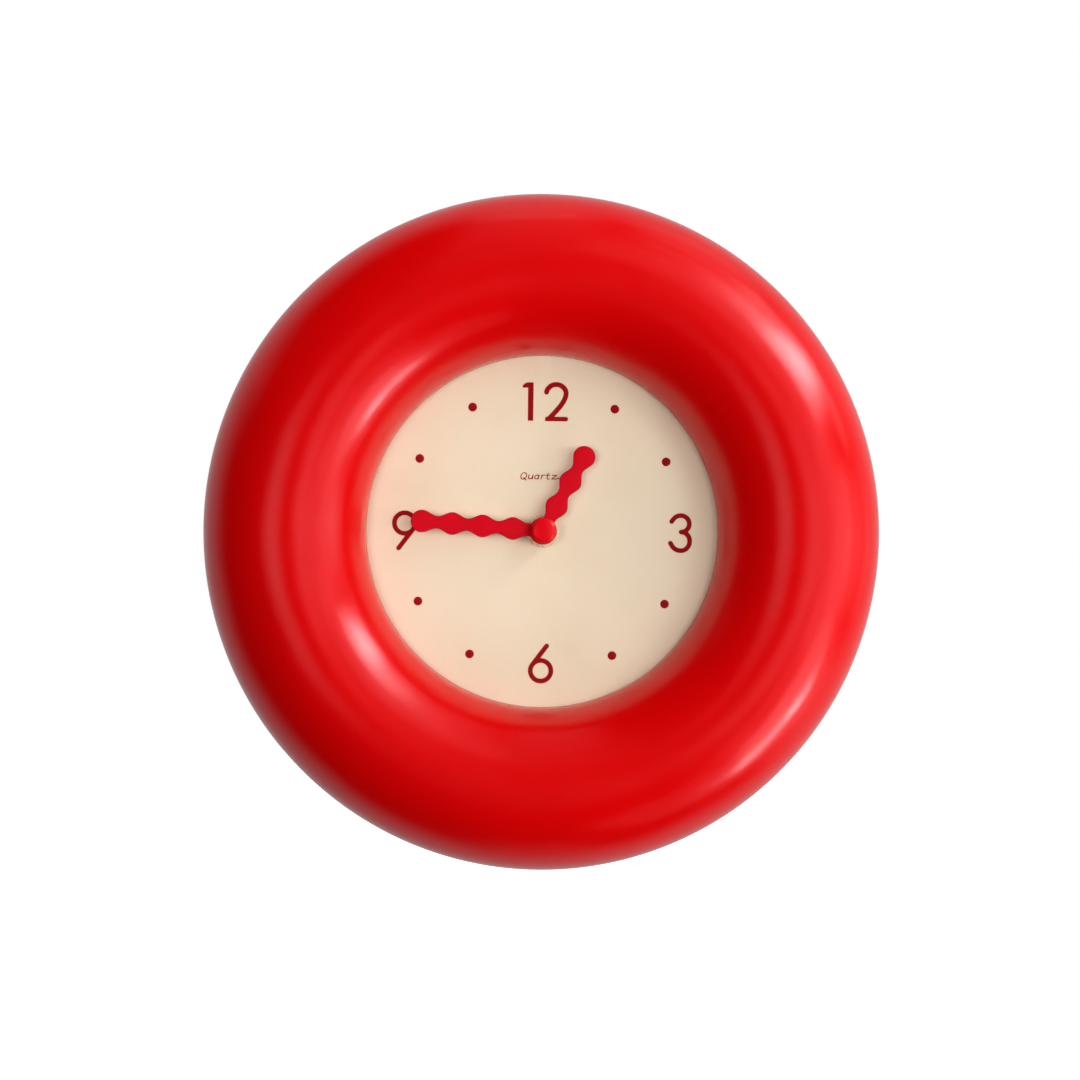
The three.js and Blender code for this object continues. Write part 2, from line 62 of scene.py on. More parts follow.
# The clock's own axis runs along Y through the middle of the ring.
lo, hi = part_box("front_shell")
AX = (lo[0] + hi[0]) / 2
AZ = (lo[2] + hi[2]) / 2
CREST_Y = lo[1] / MM  # front of the ring
RIM_F = hi[1] / MM  # rear edge of the front shell
RING_OUT = (hi[0] - lo[0]) / 2 / MM  # 150
lo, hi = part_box("rear_shell")
RIM_R = RIM_F + 0.3
lo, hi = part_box("dial_plate")
DIAL_F, DIAL_B = lo[1] / MM, hi[1] / MM
TUBE = 36.0
RING_R = RING_OUT - TUBE
SPLIT = (RIM_F + RIM_R) / 2
WALL = 2.5


# ------------------------------------------------------------------ mesh helpers
def to_world(p):
    """(x, y, z) in millimetres from the clock's axis to metres in the row frame."""
    return (AX + p[0] * MM, p[1] * MM, AZ + p[2] * MM)


def build(name, verts, faces, mm=True):
    me = bpy.data.meshes.new(name)
    me.from_pydata([to_world(v) if mm else v for v in verts], [], faces)
    bm = bmesh.new()
    bm.from_mesh(me)
    bmesh.ops.remove_doubles(bm, verts=bm.verts, dist=1e-7)
    bmesh.ops.dissolve_degenerate(bm, edges=bm.edges, dist=1e-8)
    bmesh.ops.recalc_face_normals(bm, faces=bm.faces)
    bm.to_mesh(me)
    bm.free()
    ob = bpy.data.objects.new(name, me)
    bpy.context.scene.collection.objects.link(ob)
    return ob


def shade(ob, angle=35.0):
    """Smooth shading with hard edges above an angle."""
    bm = bmesh.new()
    bm.from_mesh(ob.data)
    for f in bm.faces:
        f.smooth = True
    lim = math.radians(angle)
    for e in bm.edges:
        e.smooth = len(e.link_faces) == 2 and e.calc_face_angle(0) < lim
    bm.to_mesh(ob.data)
    bm.free()
    return ob


def place(ob, mat, body, replaces=(), angle=35.0):
    shade(ob, angle)
    ob.data.materials.clear()
    ob.data.materials.append(mat)
    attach(ob, body)
    if replaces:
        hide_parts(*replaces)
    return ob


def lathe_data(profile, segs, cx=0.0, cz=0.0, closed=True, wave=None):
    """Profile [(r, y), ...] turned about an axis parallel to Y."""
    verts, faces, rings = [], [], []
    for r, y in profile:
        if r < 1e-6:
            rings.append([len(verts)] * segs)
            verts.append((cx, y, cz))
        else:
            ids = []
            for i in range(segs):
                a = 2 * math.pi * i / segs
                ids.append(len(verts))
                verts.append((cx + r * math.cos(a), y, cz + r * math.sin(a)))
            rings.append(ids)
    n = len(rings)
    last = n if closed else n - 1
    for k in range(last):
        a, b = rings[k], rings[(k + 1) % n]
        for i in range(segs):
            j = (i + 1) % segs
            q = [a[i], a[j], b[j], b[i]]
            out = []
            for v in q:
                if v not in out:
                    out.append(v)
            if len(out) > 2:
                faces.append(out)
    return verts, faces


def lathe(name, profile, segs, cx=0.0, cz=0.0, closed=True):
    return build(name, *lathe_data(profile, segs, cx, cz, closed))


def fillet(points, radii, n=5, closed=True):
    """A polygon's corners rounded; radii is one number or one for each corner."""
    pts = [np.array(p, float) for p in points]
    rs = [radii] * len(pts) if isinstance(radii, (int, float)) else list(radii)
    out = []
    for i, p in enumerate(pts):
        if not closed and i in (0, len(pts) - 1):
            out.append(tuple(p))
            continue
        a, b = pts[i - 1], pts[(i + 1) % len(pts)]
        u, v = a - p, b - p
        lu, lv = np.linalg.norm(u), np.linalg.norm(v)
        u, v = u / lu, v / lv
        c = float(np.clip(u @ v, -1, 1))
        half = math.acos(c) / 2
        r = rs[i]
        if r <= 0 or half > math.radians(88):
            out.append(tuple(p))
            continue
        t = min(r / math.tan(half), 0.48 * lu, 0.48 * lv)
        r = t * math.tan(half)
        centre = p + (u + v) / np.linalg.norm(u + v) * (r / math.sin(half))
        s, e = p + u * t, p + v * t
        a0 = math.atan2(*(s - centre)[::-1])
        a1 = math.atan2(*(e - centre)[::-1])
        d = (a1 - a0 + math.pi) % (2 * math.pi) - math.pi
        for k in range(n + 1):
            ang = a0 + d * k / n
            out.append((centre[0] + r * math.cos(ang), centre[1] + r * math.sin(ang)))
    return out


def area2(loop):
    return sum(a[0] * b[1] - b[0] * a[1] for a, b in zip(loop, loop[1:] + loop[:1])) / 2


def offset(loop, d):
    """Each point moved d to the left of the way the loop runs."""
    p = np.array(loop, float)
    e = np.roll(p, -1, 0) - p
    e /= np.maximum(np.linalg.norm(e, axis=1), 1e-12)[:, None]
    nrm = np.stack([-e[:, 1], e[:, 0]], 1)
    prev = np.roll(nrm, 1, 0)
    m = nrm + prev
    m /= np.maximum((m * nrm).sum(1), 0.35)[:, None]
    return [tuple(q) for q in p + m * d]


def plate_data(loops, y_front, y_back, bevel=0.0, steps=2, back_bevel=None):
    """A plate with outline loops[0] and holes loops[1:], in the XZ plane, with rounded edges."""
    made = []
    for i, l in enumerate(loops):
        a = area2(l)
        made.append(list(l) if (a > 0) == (i == 0) else list(reversed(l)))
    back_bevel = bevel if back_bevel is None else back_bevel
    rows = []  # (inset, y)
    if bevel > 0:
        for k in range(steps + 1):
            t = math.pi / 2 * k / steps
            rows.append((bevel * (1 - math.sin(t)), y_front + bevel * (1 - math.cos(t))))
    else:
        rows.append((0, y_front))
    if back_bevel > 0:
        for k in range(steps + 1):
            t = math.pi / 2 * (1 - k / steps)
            rows.append(
                (back_bevel * (1 - math.sin(t)), y_back - back_bevel * (1 - math.cos(t)))
            )
    else:
        rows.append((0, y_back))
    verts, faces = [], []
    first, last = [], []
    for l in made:
        n = len(l)
        grid = []
        for inset, y in rows:
            q = offset(l, inset) if inset > 0 else l
            base = len(verts)
            verts += [(x, y, z) for x, z in q]
            grid.append(base)
        for a, b in zip(grid, grid[1:]):
            for i in range(n):
                j = (i + 1) % n
                faces.append([a + i, a + j, b + j, b + i])
        first.append((grid[0], n))
        last.append((grid[-1], n))
    for groups in (first, last):
        flat, polys = [], []
        for base, n in groups:
            flat += range(base, base + n)
            polys.append([Vector((verts[v][0], verts[v][2], 0)) for v in range(base, base + n)])
        for t in tessellate_polygon(polys):
            if len(set(t)) == 3:
                faces.append([flat[i] for i in t])
    return verts, faces


def plate(name, loops, y_front, y_back, bevel=0.0, steps=2, back_bevel=None):
    return build(name, *plate_data(loops, y_front, y_back, bevel, steps, back_bevel))


def inside(p, loop):
    hit = False
    for (ax, az), (bx, bz) in zip(loop, loop[1:] + loop[:1]):
        if (az > p[1]) != (bz > p[1]) and p[0] < (bx - ax) * (p[1] - az) / (bz - az) + ax:
            hit = not hit
    return hit


def plates(name, loops, y_front, y_back, bevel=0.0, steps=2):
    """Plates for every outer outline among the loops, each with its own holes."""
    depth = [sum(inside(l[0], o) for o in loops if o is not l) for l in loops]
    made = []
    for l, d in zip(loops, depth):
        if d % 2 == 0:
            holes = [h for h, e in zip(loops, depth) if e == d + 1 and inside(h[0], l)]
            made.append(plate("piece", [l] + holes, y_front, y_back, bevel, steps))
    return merge(name, *made)


def circle(r, n=64, cx=0.0, cz=0.0):
    return [
        (cx + r * math.cos(2 * math.pi * i / n), cz + r * math.sin(2 * math.pi * i / n))
        for i in range(n)
    ]


def rect(x0, x1, z0, z1, r=0.0, n=5):
    pts = [(x1, z1), (x0, z1), (x0, z0), (x1, z0)]
    return fillet(pts, r, n) if r else pts


def merge(name, *obs):
    """Several meshes as one."""
    bm = bmesh.new()
    for o in obs:
        bm.from_mesh(o.data)
    me = bpy.data.meshes.new(name)
    bm.to_mesh(me)
    bm.free()
    for o in obs:
        bpy.data.objects.remove(o)
    ob = bpy.data.objects.new(name, me)
    bpy.context.scene.collection.objects.link(ob)
    return ob


def boolean(ob, tool, op):
    m = ob.modifiers.new("b", "BOOLEAN")
    m.operation, m.solver, m.object = op, "EXACT", tool
    bpy.context.view_layer.update()
    me = bpy.data.meshes.new_from_object(ob.evaluated_get(bpy.context.evaluated_depsgraph_get()))
    ob.modifiers.clear()
    ob.data = me
    bpy.data.objects.remove(tool)
    return ob


def clockwise(r, deg):
    a = math.radians(deg)
    return r * math.sin(a), r * math.cos(a)


# ------------------------------------------------------------------ outlines from distance fields
def d_polyline(X, Z, pts, w):
    best = np.full(X.shape, 1e9)
    for (ax, az), (bx, bz) in zip(pts, pts[1:]):
        dx, dz = bx - ax, bz - az
        t = np.clip(((X - ax) * dx + (Z - az) * dz) / max(dx * dx + dz * dz, 1e-12), 0, 1)
        best = np.minimum(best, np.hypot(X - ax - t * dx, Z - az - t * dz))
    return best - w


def d_polygon(X, Z, pts, round_=0.0):
    d = np.full(X.shape, 1e9)
    inside = np.zeros(X.shape, bool)
    n = len(pts)
    for i in range(n):
        (ax, az), (bx, bz) = pts[i], pts[(i + 1) % n]
        dx, dz = bx - ax, bz - az
        t = np.clip(((X - ax) * dx + (Z - az) * dz) / max(dx * dx + dz * dz, 1e-12), 0, 1)
        d = np.minimum(d, np.hypot(X - ax - t * dx, Z - az - t * dz))
        cross = ((az > Z) != (bz > Z)) & (
            X < (bx - ax) * (Z - az) / np.where(bz == az, 1e-12, bz - az) + ax
        )
        inside ^= cross
    return np.where(inside, -d, d) - round_


def smooth_path(pts, per=8):
    """Catmull-Rom curve through the points."""
    p = [np.array(q, float) for q in pts]
    p = [2 * p[0] - p[1]] + p + [2 * p[-1] - p[-2]]
    out = []
    for i in range(1, len(p) - 2):
        for k in range(per):
            t = k / per
            out.append(
                0.5
                * (
                    2 * p[i]
                    + (p[i + 1] - p[i - 1]) * t
                    + (2 * p[i - 1] - 5 * p[i] + 4 * p[i + 1] - p[i + 2]) * t * t
                    + (3 * p[i] - 3 * p[i + 1] + p[i + 2] - p[i - 1]) * t**3
                )
            )
    out.append(p[-2])
    return [tuple(q) for q in out]


def contour(field, x0, x1, z0, z1, h):
    """Closed outlines where field(X, Z) crosses zero."""
    xs = np.arange(x0, x1 + h, h)
    zs = np.arange(z0, z1 + h, h)
    X, Z = np.meshgrid(xs, zs, indexing="ij")
    F = field(X, Z)
    F = np.where(np.abs(F) < 1e-9, 1e-9, F)
    link = {}

    def point(i, j, k):
        # k 0: edge to i+1, k 1: edge to j+1
        a = F[i, j]
        b = F[i + 1, j] if k == 0 else F[i, j + 1]
        t = a / (a - b)
        return (xs[i] + (t * h if k == 0 else 0), zs[j] + (t * h if k == 1 else 0))

    s = F < 0
    mixed = np.argwhere(
        (s[:-1, :-1] != s[1:, :-1])
        | (s[:-1, :-1] != s[:-1, 1:])
        | (s[:-1, :-1] != s[1:, 1:])
    )
    for i, j in mixed:
        c = (s[i, j], s[i + 1, j], s[i + 1, j + 1], s[i, j + 1])
        e = ((i, j, 0), (i + 1, j, 1), (i, j + 1, 0), (i, j, 1))
        hits = [k for k in range(4) if c[k] != c[(k + 1) % 4]]
        pairs = [(hits[0], hits[1])] if len(hits) == 2 else [(0, 3), (1, 2)] if c[0] else [(0, 1), (2, 3)]
        for a, b in pairs:
            link.setdefault(e[a], []).append(e[b])
            link.setdefault(e[b], []).append(e[a])
    loops, seen = [], set()
    for start in link:
        if start in seen:
            continue
        loop, cur, prev = [], start, None
        while cur not in seen:
            seen.add(cur)
            loop.append(point(*cur))
            nxt = [q for q in link[cur] if q != prev]
            prev, cur = cur, nxt[0] if nxt else link[cur][0]
        if len(loop) > 8:
            # drop points that crowd each other
            keep = [loop[0]]
            for q in loop[1:]:
                if math.dist(q, keep[-1]) > 0.45 * h:
                    keep.append(q)
            loops.append(keep)
    loops.sort(key=lambda l: -abs(area2(l)))
    return loops


# ------------------------------------------------------------------ materials
def material(name):
    m = bpy.data.materials.new(name)
    m.use_nodes = True
    nt = m.node_tree
    nt.nodes.clear()
    out = nt.nodes.new("ShaderNodeOutputMaterial")
    p = nt.nodes.new("ShaderNodeBsdfPrincipled")
    nt.links.new(p.outputs["BSDF"], out.inputs["Surface"])
    return m, nt, p


def tex(nt, kind, scale, coord="Object", **k):
    tc = nt.nodes.new("ShaderNodeTexCoord")
    n = nt.nodes.new("ShaderNodeTex" + kind)
    nt.links.new(tc.outputs[coord], n.inputs["Vector"])
    n.inputs["Scale"].default_value = scale
    for key, v in k.items():
        n.inputs[key].default_value = v
    return n


def ramp(nt, src, stops):
    r = nt.nodes.new("ShaderNodeValToRGB")
    nt.links.new(src, r.inputs["Fac"])
    while len(r.color_ramp.elements) < len(stops):
        r.color_ramp.elements.new(0.5)
    for el, (pos, col) in zip(r.color_ramp.elements, stops):
        el.position = pos
        el.color = (*col, 1) if len(col) == 3 else col
    return r


def remap(nt, src, a, b, c, d):
    r = nt.nodes.new("ShaderNodeMapRange")
    nt.links.new(src, r.inputs["Value"])
    for key, v in zip(("From Min", "From Max", "To Min", "To Max"), (a, b, c, d)):
        r.inputs[key].default_value = v
    return r


def bump(nt, p, heights):
    """heights: [(socket, strength, distance in metres), ...], coarse first."""
    prev = None
    for src, strength, dist in heights:
        b = nt.nodes.new("ShaderNodeBump")
        b.inputs["Strength"].default_value = strength
        b.inputs["Distance"].default_value = dist
        nt.links.new(src, b.inputs["Height"])
        if prev:
            nt.links.new(prev.outputs["Normal"], b.inputs["Normal"])
        prev = b
    nt.links.new(prev.outputs["Normal"], p.inputs["Normal"])


def moulded(
    name,
    light,
    dark,
    rough=(0.3, 0.38),
    grain=(900.0, 0.03, 0.00015),
    micro=(5000.0, 0.05, 0.00002),
    tone=14.0,
    ior=1.5,
    spec=0.5,
    tint=None,
    coat=0.0,
    coat_rough=0.15,
    metallic=0.0,
    wave=None,
):
    """Moulded plastic or paint: slow tone drift, fine surface waviness and a finer grain."""
    m, nt, p = material(name)
    n1 = tex(nt, "Noise", tone, Detail=3.0, Roughness=0.5)
    c = ramp(nt, n1.outputs["Fac"], [(0.3, dark), (0.7, light)])
    nt.links.new(c.outputs["Color"], p.inputs["Base Color"])
    n2 = tex(nt, "Noise", 120.0, Detail=4.0, Roughness=0.6)
    r = remap(nt, n2.outputs["Fac"], 0.3, 0.7, rough[0], rough[1])
    nt.links.new(r.outputs["Result"], p.inputs["Roughness"])
    g = tex(nt, "Noise", grain[0], Detail=2.0, Roughness=0.5)
    f = tex(nt, "Noise", micro[0], Detail=2.0, Roughness=0.6)
    heights = [(g.outputs["Fac"], grain[1], grain[2]), (f.outputs["Fac"], micro[1], micro[2])]
    if wave:  # the slight unevenness of a thick moulding
        v = tex(nt, "Noise", wave[0], Detail=1.0, Roughness=0.4)
        heights.insert(0, (v.outputs["Fac"], wave[1], wave[2]))
    bump(nt, p, heights)
    p.inputs["IOR"].default_value = ior
    p.inputs["Specular IOR Level"].default_value = spec
    if tint:
        p.inputs["Specular Tint"].default_value = (*tint, 1)
    p.inputs["Coat Weight"].default_value = coat
    p.inputs["Coat Roughness"].default_value = coat_rough
    p.inputs["Metallic"].default_value = metallic
    return m


def metal(name, light, dark, rough=(0.2, 0.35), brush=None, spots=600.0, metallic=0.75):
    """Turned or stamped metal: brushed lines along one axis, fine pitting and tone drift."""
    m, nt, p = material(name)
    tc = nt.nodes.new("ShaderNodeTexCoord")
    mp = nt.nodes.new("ShaderNodeMapping")
    nt.links.new(tc.outputs["Object"], mp.inputs["Vector"])
    mp.inputs["Scale"].default_value = brush or (1.0, 1.0, 1.0)
    n1 = nt.nodes.new("ShaderNodeTexNoise")
    n1.inputs["Scale"].default_value = 900.0
    n1.inputs["Detail"].default_value = 4.0
    nt.links.new(mp.outputs["Vector"], n1.inputs["Vector"])
    n2 = tex(nt, "Noise", spots, Detail=3.0)
    c = ramp(nt, n2.outputs["Fac"], [(0.3, dark), (0.65, light)])
    nt.links.new(c.outputs["Color"], p.inputs["Base Color"])
    r = remap(nt, n1.outputs["Fac"], 0.3, 0.7, rough[0], rough[1])
    nt.links.new(r.outputs["Result"], p.inputs["Roughness"])
    bump(nt, p, [(n1.outputs["Fac"], 0.12, 0.00002), (n2.outputs["Fac"], 0.1, 0.00002)])
    p.inputs["Metallic"].default_value = metallic
    return m


MAT_RING = moulded(
    "ring_red_gloss",
    (0.640, 0.0006, 0.0012),
    (0.600, 0.0005, 0.0010),
    rough=(0.19, 0.23),
    grain=(420.0, 0.03, 0.0002),
    micro=(3500.0, 0.04, 0.00002),
    tone=9.0,
    spec=0.42,
    tint=(1.0, 0.62, 0.66),
    wave=(26.0, 0.35, 0.0022),
)
MAT_RING_BACK = moulded(
    "ring_red_back",
    (0.640, 0.0007, 0.0013),
    (0.595, 0.0006, 0.0011),
    rough=(0.32, 0.42),
    grain=(1500.0, 0.12, 0.0001),
    micro=(5200.0, 0.10, 0.00002),
    tone=9.0,
    spec=0.4,
    tint=(1.0, 0.55, 0.55),
)


def dial_material():
    m, nt, p = material("dial_cream_print")
    n1 = tex(nt, "Noise", 22.0, Detail=5.0, Roughness=0.55)
    c1 = ramp(
        nt,
        n1.outputs["Fac"],
        [(0.25, (0.770, 0.650, 0.470)), (0.5, (0.800, 0.685, 0.505)), (0.75, (0.815, 0.705, 0.530))],
    )
    n2 = tex(nt, "Noise", 1600.0, Detail=3.0, Roughness=0.7)
    fibre = ramp(nt, n2.outputs["Fac"], [(0.35, (0.93, 0.92, 0.90)), (0.6, (1.0, 1.0, 1.0))])
    mix = nt.nodes.new("ShaderNodeMix")
    mix.data_type, mix.blend_type = "RGBA", "MULTIPLY"
    mix.inputs["Factor"].default_value = 0.6
    nt.links.new(c1.outputs["Color"], mix.inputs[6])
    nt.links.new(fibre.outputs["Color"], mix.inputs[7])
    nt.links.new(mix.outputs[2], p.inputs["Base Color"])
    r = remap(nt, n2.outputs["Fac"], 0.3, 0.7, 0.55, 0.68)
    nt.links.new(r.outputs["Result"], p.inputs["Roughness"])
    g = tex(nt, "Noise", 2600.0, Detail=3.0, Roughness=0.6)
    bump(nt, p, [(n1.outputs["Fac"], 0.02, 0.0004), (g.outputs["Fac"], 0.08, 0.00003)])
    p.inputs["Specular IOR Level"].default_value = 0.3
    return m


MAT_DIAL = dial_material()
MAT_INK = moulded(
    "print_dark_red",
    (0.285, 0.0008, 0.0022),
    (0.245, 0.0007, 0.0018),
    rough=(0.45, 0.6),
    grain=(2600.0, 0.05, 0.00002),
    micro=(6000.0, 0.1, 0.00001),
    tone=160.0,
    spec=0.12,
)
# a darker copy of the hand red for the hands' side walls: painted shade along the stamped edges
MAT_HAND_SIDE_PAINTED_SHADE = moulded(
    "hand_side_painted_shade",
    (0.200, 0.0006, 0.0030),
    (0.160, 0.0005, 0.0024),
    rough=(0.4, 0.5),
    grain=(1800.0, 0.06, 0.00003),
    micro=(7000.0, 0.08, 0.00001),
    tone=60.0,
    spec=0.1,
)
MAT_HAND = moulded(
    "hand_red_paint",
    (0.600, 0.0006, 0.0095),
    (0.560, 0.0005, 0.0085),
    rough=(0.34, 0.44),
    grain=(1800.0, 0.06, 0.00003),
    micro=(7000.0, 0.08, 0.00001),
    tone=60.0,
    spec=0.15,
    tint=(1.0, 0.6, 0.6),
)
MAT_CAP = moulded(
    "cap_red_gloss",
    (0.700, 0.0006, 0.0060),
    (0.660, 0.0005, 0.0050),
    rough=(0.20, 0.26),
    grain=(1500.0, 0.03, 0.00003),
    micro=(7000.0, 0.05, 0.00001),
    tone=80.0,
    spec=0.35,
    tint=(1.0, 0.6, 0.6),
)
# a darker copy of the cap red for the cap's steep walls: painted shade on the cap's side
MAT_CAP_SIDE_PAINTED_SHADE = moulded(
    "cap_side_painted_shade",
    (0.340, 0.0005, 0.0035),
    (0.300, 0.0004, 0.0030),
    rough=(0.34, 0.42),
    grain=(1500.0, 0.05, 0.00003),
    micro=(7000.0, 0.05, 0.00001),
    tone=80.0,
    spec=0.15,
)
MAT_BLACK = moulded(
    "movement_black_plastic",
    (0.020, 0.020, 0.021),
    (0.012, 0.012, 0.013),
    rough=(0.42, 0.55),
    grain=(2600.0, 0.25, 0.00006),
    micro=(7000.0, 0.2, 0.00002),
    tone=40.0,
)
MAT_NATURAL = moulded(
    "natural_acetal",
    (0.78, 0.74, 0.64),
    (0.70, 0.66, 0.56),
    rough=(0.34, 0.44),
    grain=(1500.0, 0.1, 0.00004),
    micro=(6000.0, 0.1, 0.00001),
    tone=60.0,
)
MAT_WHEEL = moulded(
    "wheel_acetal",
    (0.84, 0.82, 0.76),
    (0.76, 0.74, 0.68),
    rough=(0.30, 0.40),
    grain=(1500.0, 0.1, 0.00003),
    micro=(6000.0, 0.1, 0.00001),
    tone=80.0,
)
MAT_KNOB = moulded(
    "knob_plastic",
    (0.80, 0.79, 0.75),
    (0.72, 0.71, 0.67),
    rough=(0.34, 0.46),
    grain=(1800.0, 0.12, 0.00004),
    micro=(6000.0, 0.1, 0.00001),
    tone=60.0,
)
MAT_RUBBER = moulded(
    "gasket_rubber",
    (0.026, 0.026, 0.027),
    (0.014, 0.014, 0.015),
    rough=(0.7, 0.85),
    grain=(1200.0, 0.3, 0.0001),
    micro=(5000.0, 0.3, 0.00003),
    tone=60.0,
)
MAT_CHIP = moulded(
    "chip_resin",
    (0.012, 0.012, 0.013),
    (0.006, 0.006, 0.007),
    rough=(0.18, 0.3),
    grain=(900.0, 0.1, 0.0001),
    micro=(5000.0, 0.1, 0.00002),
    tone=60.0,
)
MAT_MAGNET = moulded(
    "rotor_magnet_black",
    (0.070, 0.070, 0.075),
    (0.045, 0.045, 0.050),
    rough=(0.4, 0.6),
    grain=(2200.0, 0.3, 0.00005),
    micro=(7000.0, 0.2, 0.00002),
    tone=90.0,
)
MAT_BRASS = metal(
    "turned_brass", (0.88, 0.72, 0.47), (0.78, 0.60, 0.36), rough=(0.22, 0.34), metallic=0.3
)
MAT_STEEL = metal(
    "zinc_plated_steel", (0.62, 0.63, 0.65), (0.48, 0.49, 0.51), rough=(0.22, 0.4), spots=1400.0
)
MAT_NICKEL = metal(
    "nickel_strip", (0.70, 0.69, 0.66), (0.58, 0.57, 0.54), rough=(0.2, 0.34), brush=(0.15, 6, 1)
)
MAT_LAMINATION = metal(
    "motor_steel", (0.42, 0.43, 0.45), (0.32, 0.33, 0.35), rough=(0.3, 0.46), brush=(1, 1, 0.1)
)


def winding_material():
    """Fine copper wire wound side by side along X."""
    m, nt, p = material("enamelled_copper")
    w = tex(nt, "Wave", 4200.0, Distortion=0.4, Detail=1.0)
    w.wave_type, w.bands_direction = "BANDS", "X"
    w.inputs["Detail Scale"].default_value = 1.0
    c = ramp(nt, w.outputs["Fac"], [(0.1, (0.20, 0.055, 0.018)), (0.7, (0.62, 0.22, 0.075))])
    nt.links.new(c.outputs["Color"], p.inputs["Base Color"])
    n = tex(nt, "Noise", 400.0, Detail=3.0)
    r = remap(nt, n.outputs["Fac"], 0.3, 0.7, 0.22, 0.36)
    nt.links.new(r.outputs["Result"], p.inputs["Roughness"])
    bump(nt, p, [(w.outputs["Fac"], 0.5, 0.00004)])
    p.inputs["Metallic"].default_value = 0.85
    return m


def board_material():
    m, nt, p = material("phenolic_board")
    n = tex(nt, "Noise", 300.0, Detail=6.0, Roughness=0.7)
    c = ramp(nt, n.outputs["Fac"], [(0.3, (0.20, 0.115, 0.035)), (0.7, (0.30, 0.18, 0.06))])
    nt.links.new(c.outputs["Color"], p.inputs["Base Color"])
    r = remap(nt, n.outputs["Fac"], 0.3, 0.7, 0.4, 0.55)
    nt.links.new(r.outputs["Result"], p.inputs["Roughness"])
    bump(nt, p, [(n.outputs["Fac"], 0.1, 0.00003)])
    return m


BAT_LO, BAT_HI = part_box("battery_aa")


def battery_material():
    """Printed sleeve: graphite over most of the length, then a thin pale rule and a copper-coloured end."""
    m, nt, p = material("battery_sleeve")
    tc = nt.nodes.new("ShaderNodeTexCoord")
    sep = nt.nodes.new("ShaderNodeSeparateXYZ")
    nt.links.new(tc.outputs["Object"], sep.inputs["Vector"])
    t = remap(nt, sep.outputs["X"], BAT_LO[0], BAT_HI[0], 0.0, 1.0)
    dark, pale, copper = (0.022, 0.024, 0.028), (0.70, 0.70, 0.68), (0.56, 0.24, 0.075)
    c = ramp(
        nt,
        t.outputs["Result"],
        [(0.0, dark), (0.665, dark), (0.668, pale), (0.680, pale), (0.683, copper), (0.955, copper)],
    )
    c.color_ramp.interpolation = "CONSTANT"
    n = tex(nt, "Noise", 70.0, Detail=4.0)
    tone = ramp(nt, n.outputs["Fac"], [(0.3, (0.88, 0.88, 0.88)), (0.7, (1, 1, 1))])
    mix = nt.nodes.new("ShaderNodeMix")
    mix.data_type, mix.blend_type = "RGBA", "MULTIPLY"
    mix.inputs["Factor"].default_value = 1.0
    nt.links.new(c.outputs["Color"], mix.inputs[6])
    nt.links.new(tone.outputs["Color"], mix.inputs[7])
    nt.links.new(mix.outputs[2], p.inputs["Base Color"])
    r = remap(nt, n.outputs["Fac"], 0.3, 0.7, 0.22, 0.34)
    nt.links.new(r.outputs["Result"], p.inputs["Roughness"])
    g = tex(nt, "Noise", 500.0, Detail=3.0)
    bump(nt, p, [(g.outputs["Fac"], 0.06, 0.00008)])
    p.inputs["Metallic"].default_value = 0.35
    p.inputs["Coat Weight"].default_value = 0.4
    p.inputs["Coat Roughness"].default_value = 0.12
    return m


MAT_WINDING = winding_material()
MAT_BOARD = board_material()
MAT_BATTERY = battery_material()

# ------------------------------------------------------------------ ring: front shell
SEGS = 256


def arc(r, a0, a1, n):
    """Points of the tube's section; angle 0 is outwards and 90 degrees is the crest."""
    return [
        (
            RING_R + r * math.cos(math.radians(a0 + (a1 - a0) * k / n)),
            SPLIT - r * math.sin(math.radians(a0 + (a1 - a0) * k / n)),
        )
        for k in range(n + 1)
    ]


seam = math.degrees(math.asin(0.15 / TUBE))
rim = 0.45  # the moulded edge of each shell is slightly broken
e0 = math.degrees(math.asin((0.15 + rim) / TUBE))
i0 = math.degrees(math.asin(0.15 / (TUBE - WALL)))
prof = (
    [(RING_R + TUBE - rim, RIM_F), (RING_R + TUBE - 0.13, RIM_F - 0.13)]
    + arc(TUBE, e0, 180 - e0, 84)
    + [(RING_R - TUBE + 0.13, RIM_F - 0.13), (RING_R - TUBE + rim, RIM_F)]
    + arc(TUBE - WALL, 180 - i0, i0, 32)
)
front = lathe("front_shell_skin", prof, SEGS)
bosses = []
for k in range(6):
    x, z = clockwise(RING_R, 30 + 60 * k)
    bosses.append(
        lathe(
            f"boss_{k}",
            [(1.65, RIM_F), (4.0, RIM_F), (4.3, -54.0), (5.0, -56.6), (0, -56.6), (0, -36), (1.65, -36)],
            32,
            x,
            z,
        )
    )
front = boolean(front, merge("bosses", *bosses), "UNION")
place(front, MAT_RING, "case", ["front_shell"], 40)

# ------------------------------------------------------------------ ring: rear shell
HANG = -AZ / MM  # bearing point above the axis
ra, rb = RING_OUT - 134.0, -SPLIT
outer = [
    (134 + ra * math.cos(math.radians(t)), SPLIT + rb * math.sin(math.radians(t)))
    for t in np.linspace(1.6, 90, 36)
]
t1 = math.degrees(math.acos((144.9 - 134) / (ra - WALL)))
inner = [
    (134 + (ra - WALL) * math.cos(math.radians(t)), SPLIT + (rb - WALL) * math.sin(math.radians(t)))
    for t in np.linspace(90, t1, 14)
]
lip = fillet(
    [(60, 0), (46.05, 0), (46.05, -6), (48, -6), (48, -WALL), (79.3, -WALL), (79.3, -19.55), (81.3, -19.55), (81.3, -WALL), (100, -WALL)],
    [0, 0.8, 0.4, 0.4, 0.8, 0.8, 0.3, 0.3, 0.8, 0],
    6,
    closed=False,
)
prof = (
    [(RING_OUT - rim, RIM_R), (RING_OUT - 0.13, RIM_R + 0.13)]
    + outer
    + lip
    + inner
    + fillet([(144.9, -14), (144.9, -25), (146.3, -25), (146.3, RIM_R)], [0, 0.3, 0.5, 0], 4, closed=False)
)
rear = lathe("rear_shell_skin", prof, SEGS)
towers, wells = [], []
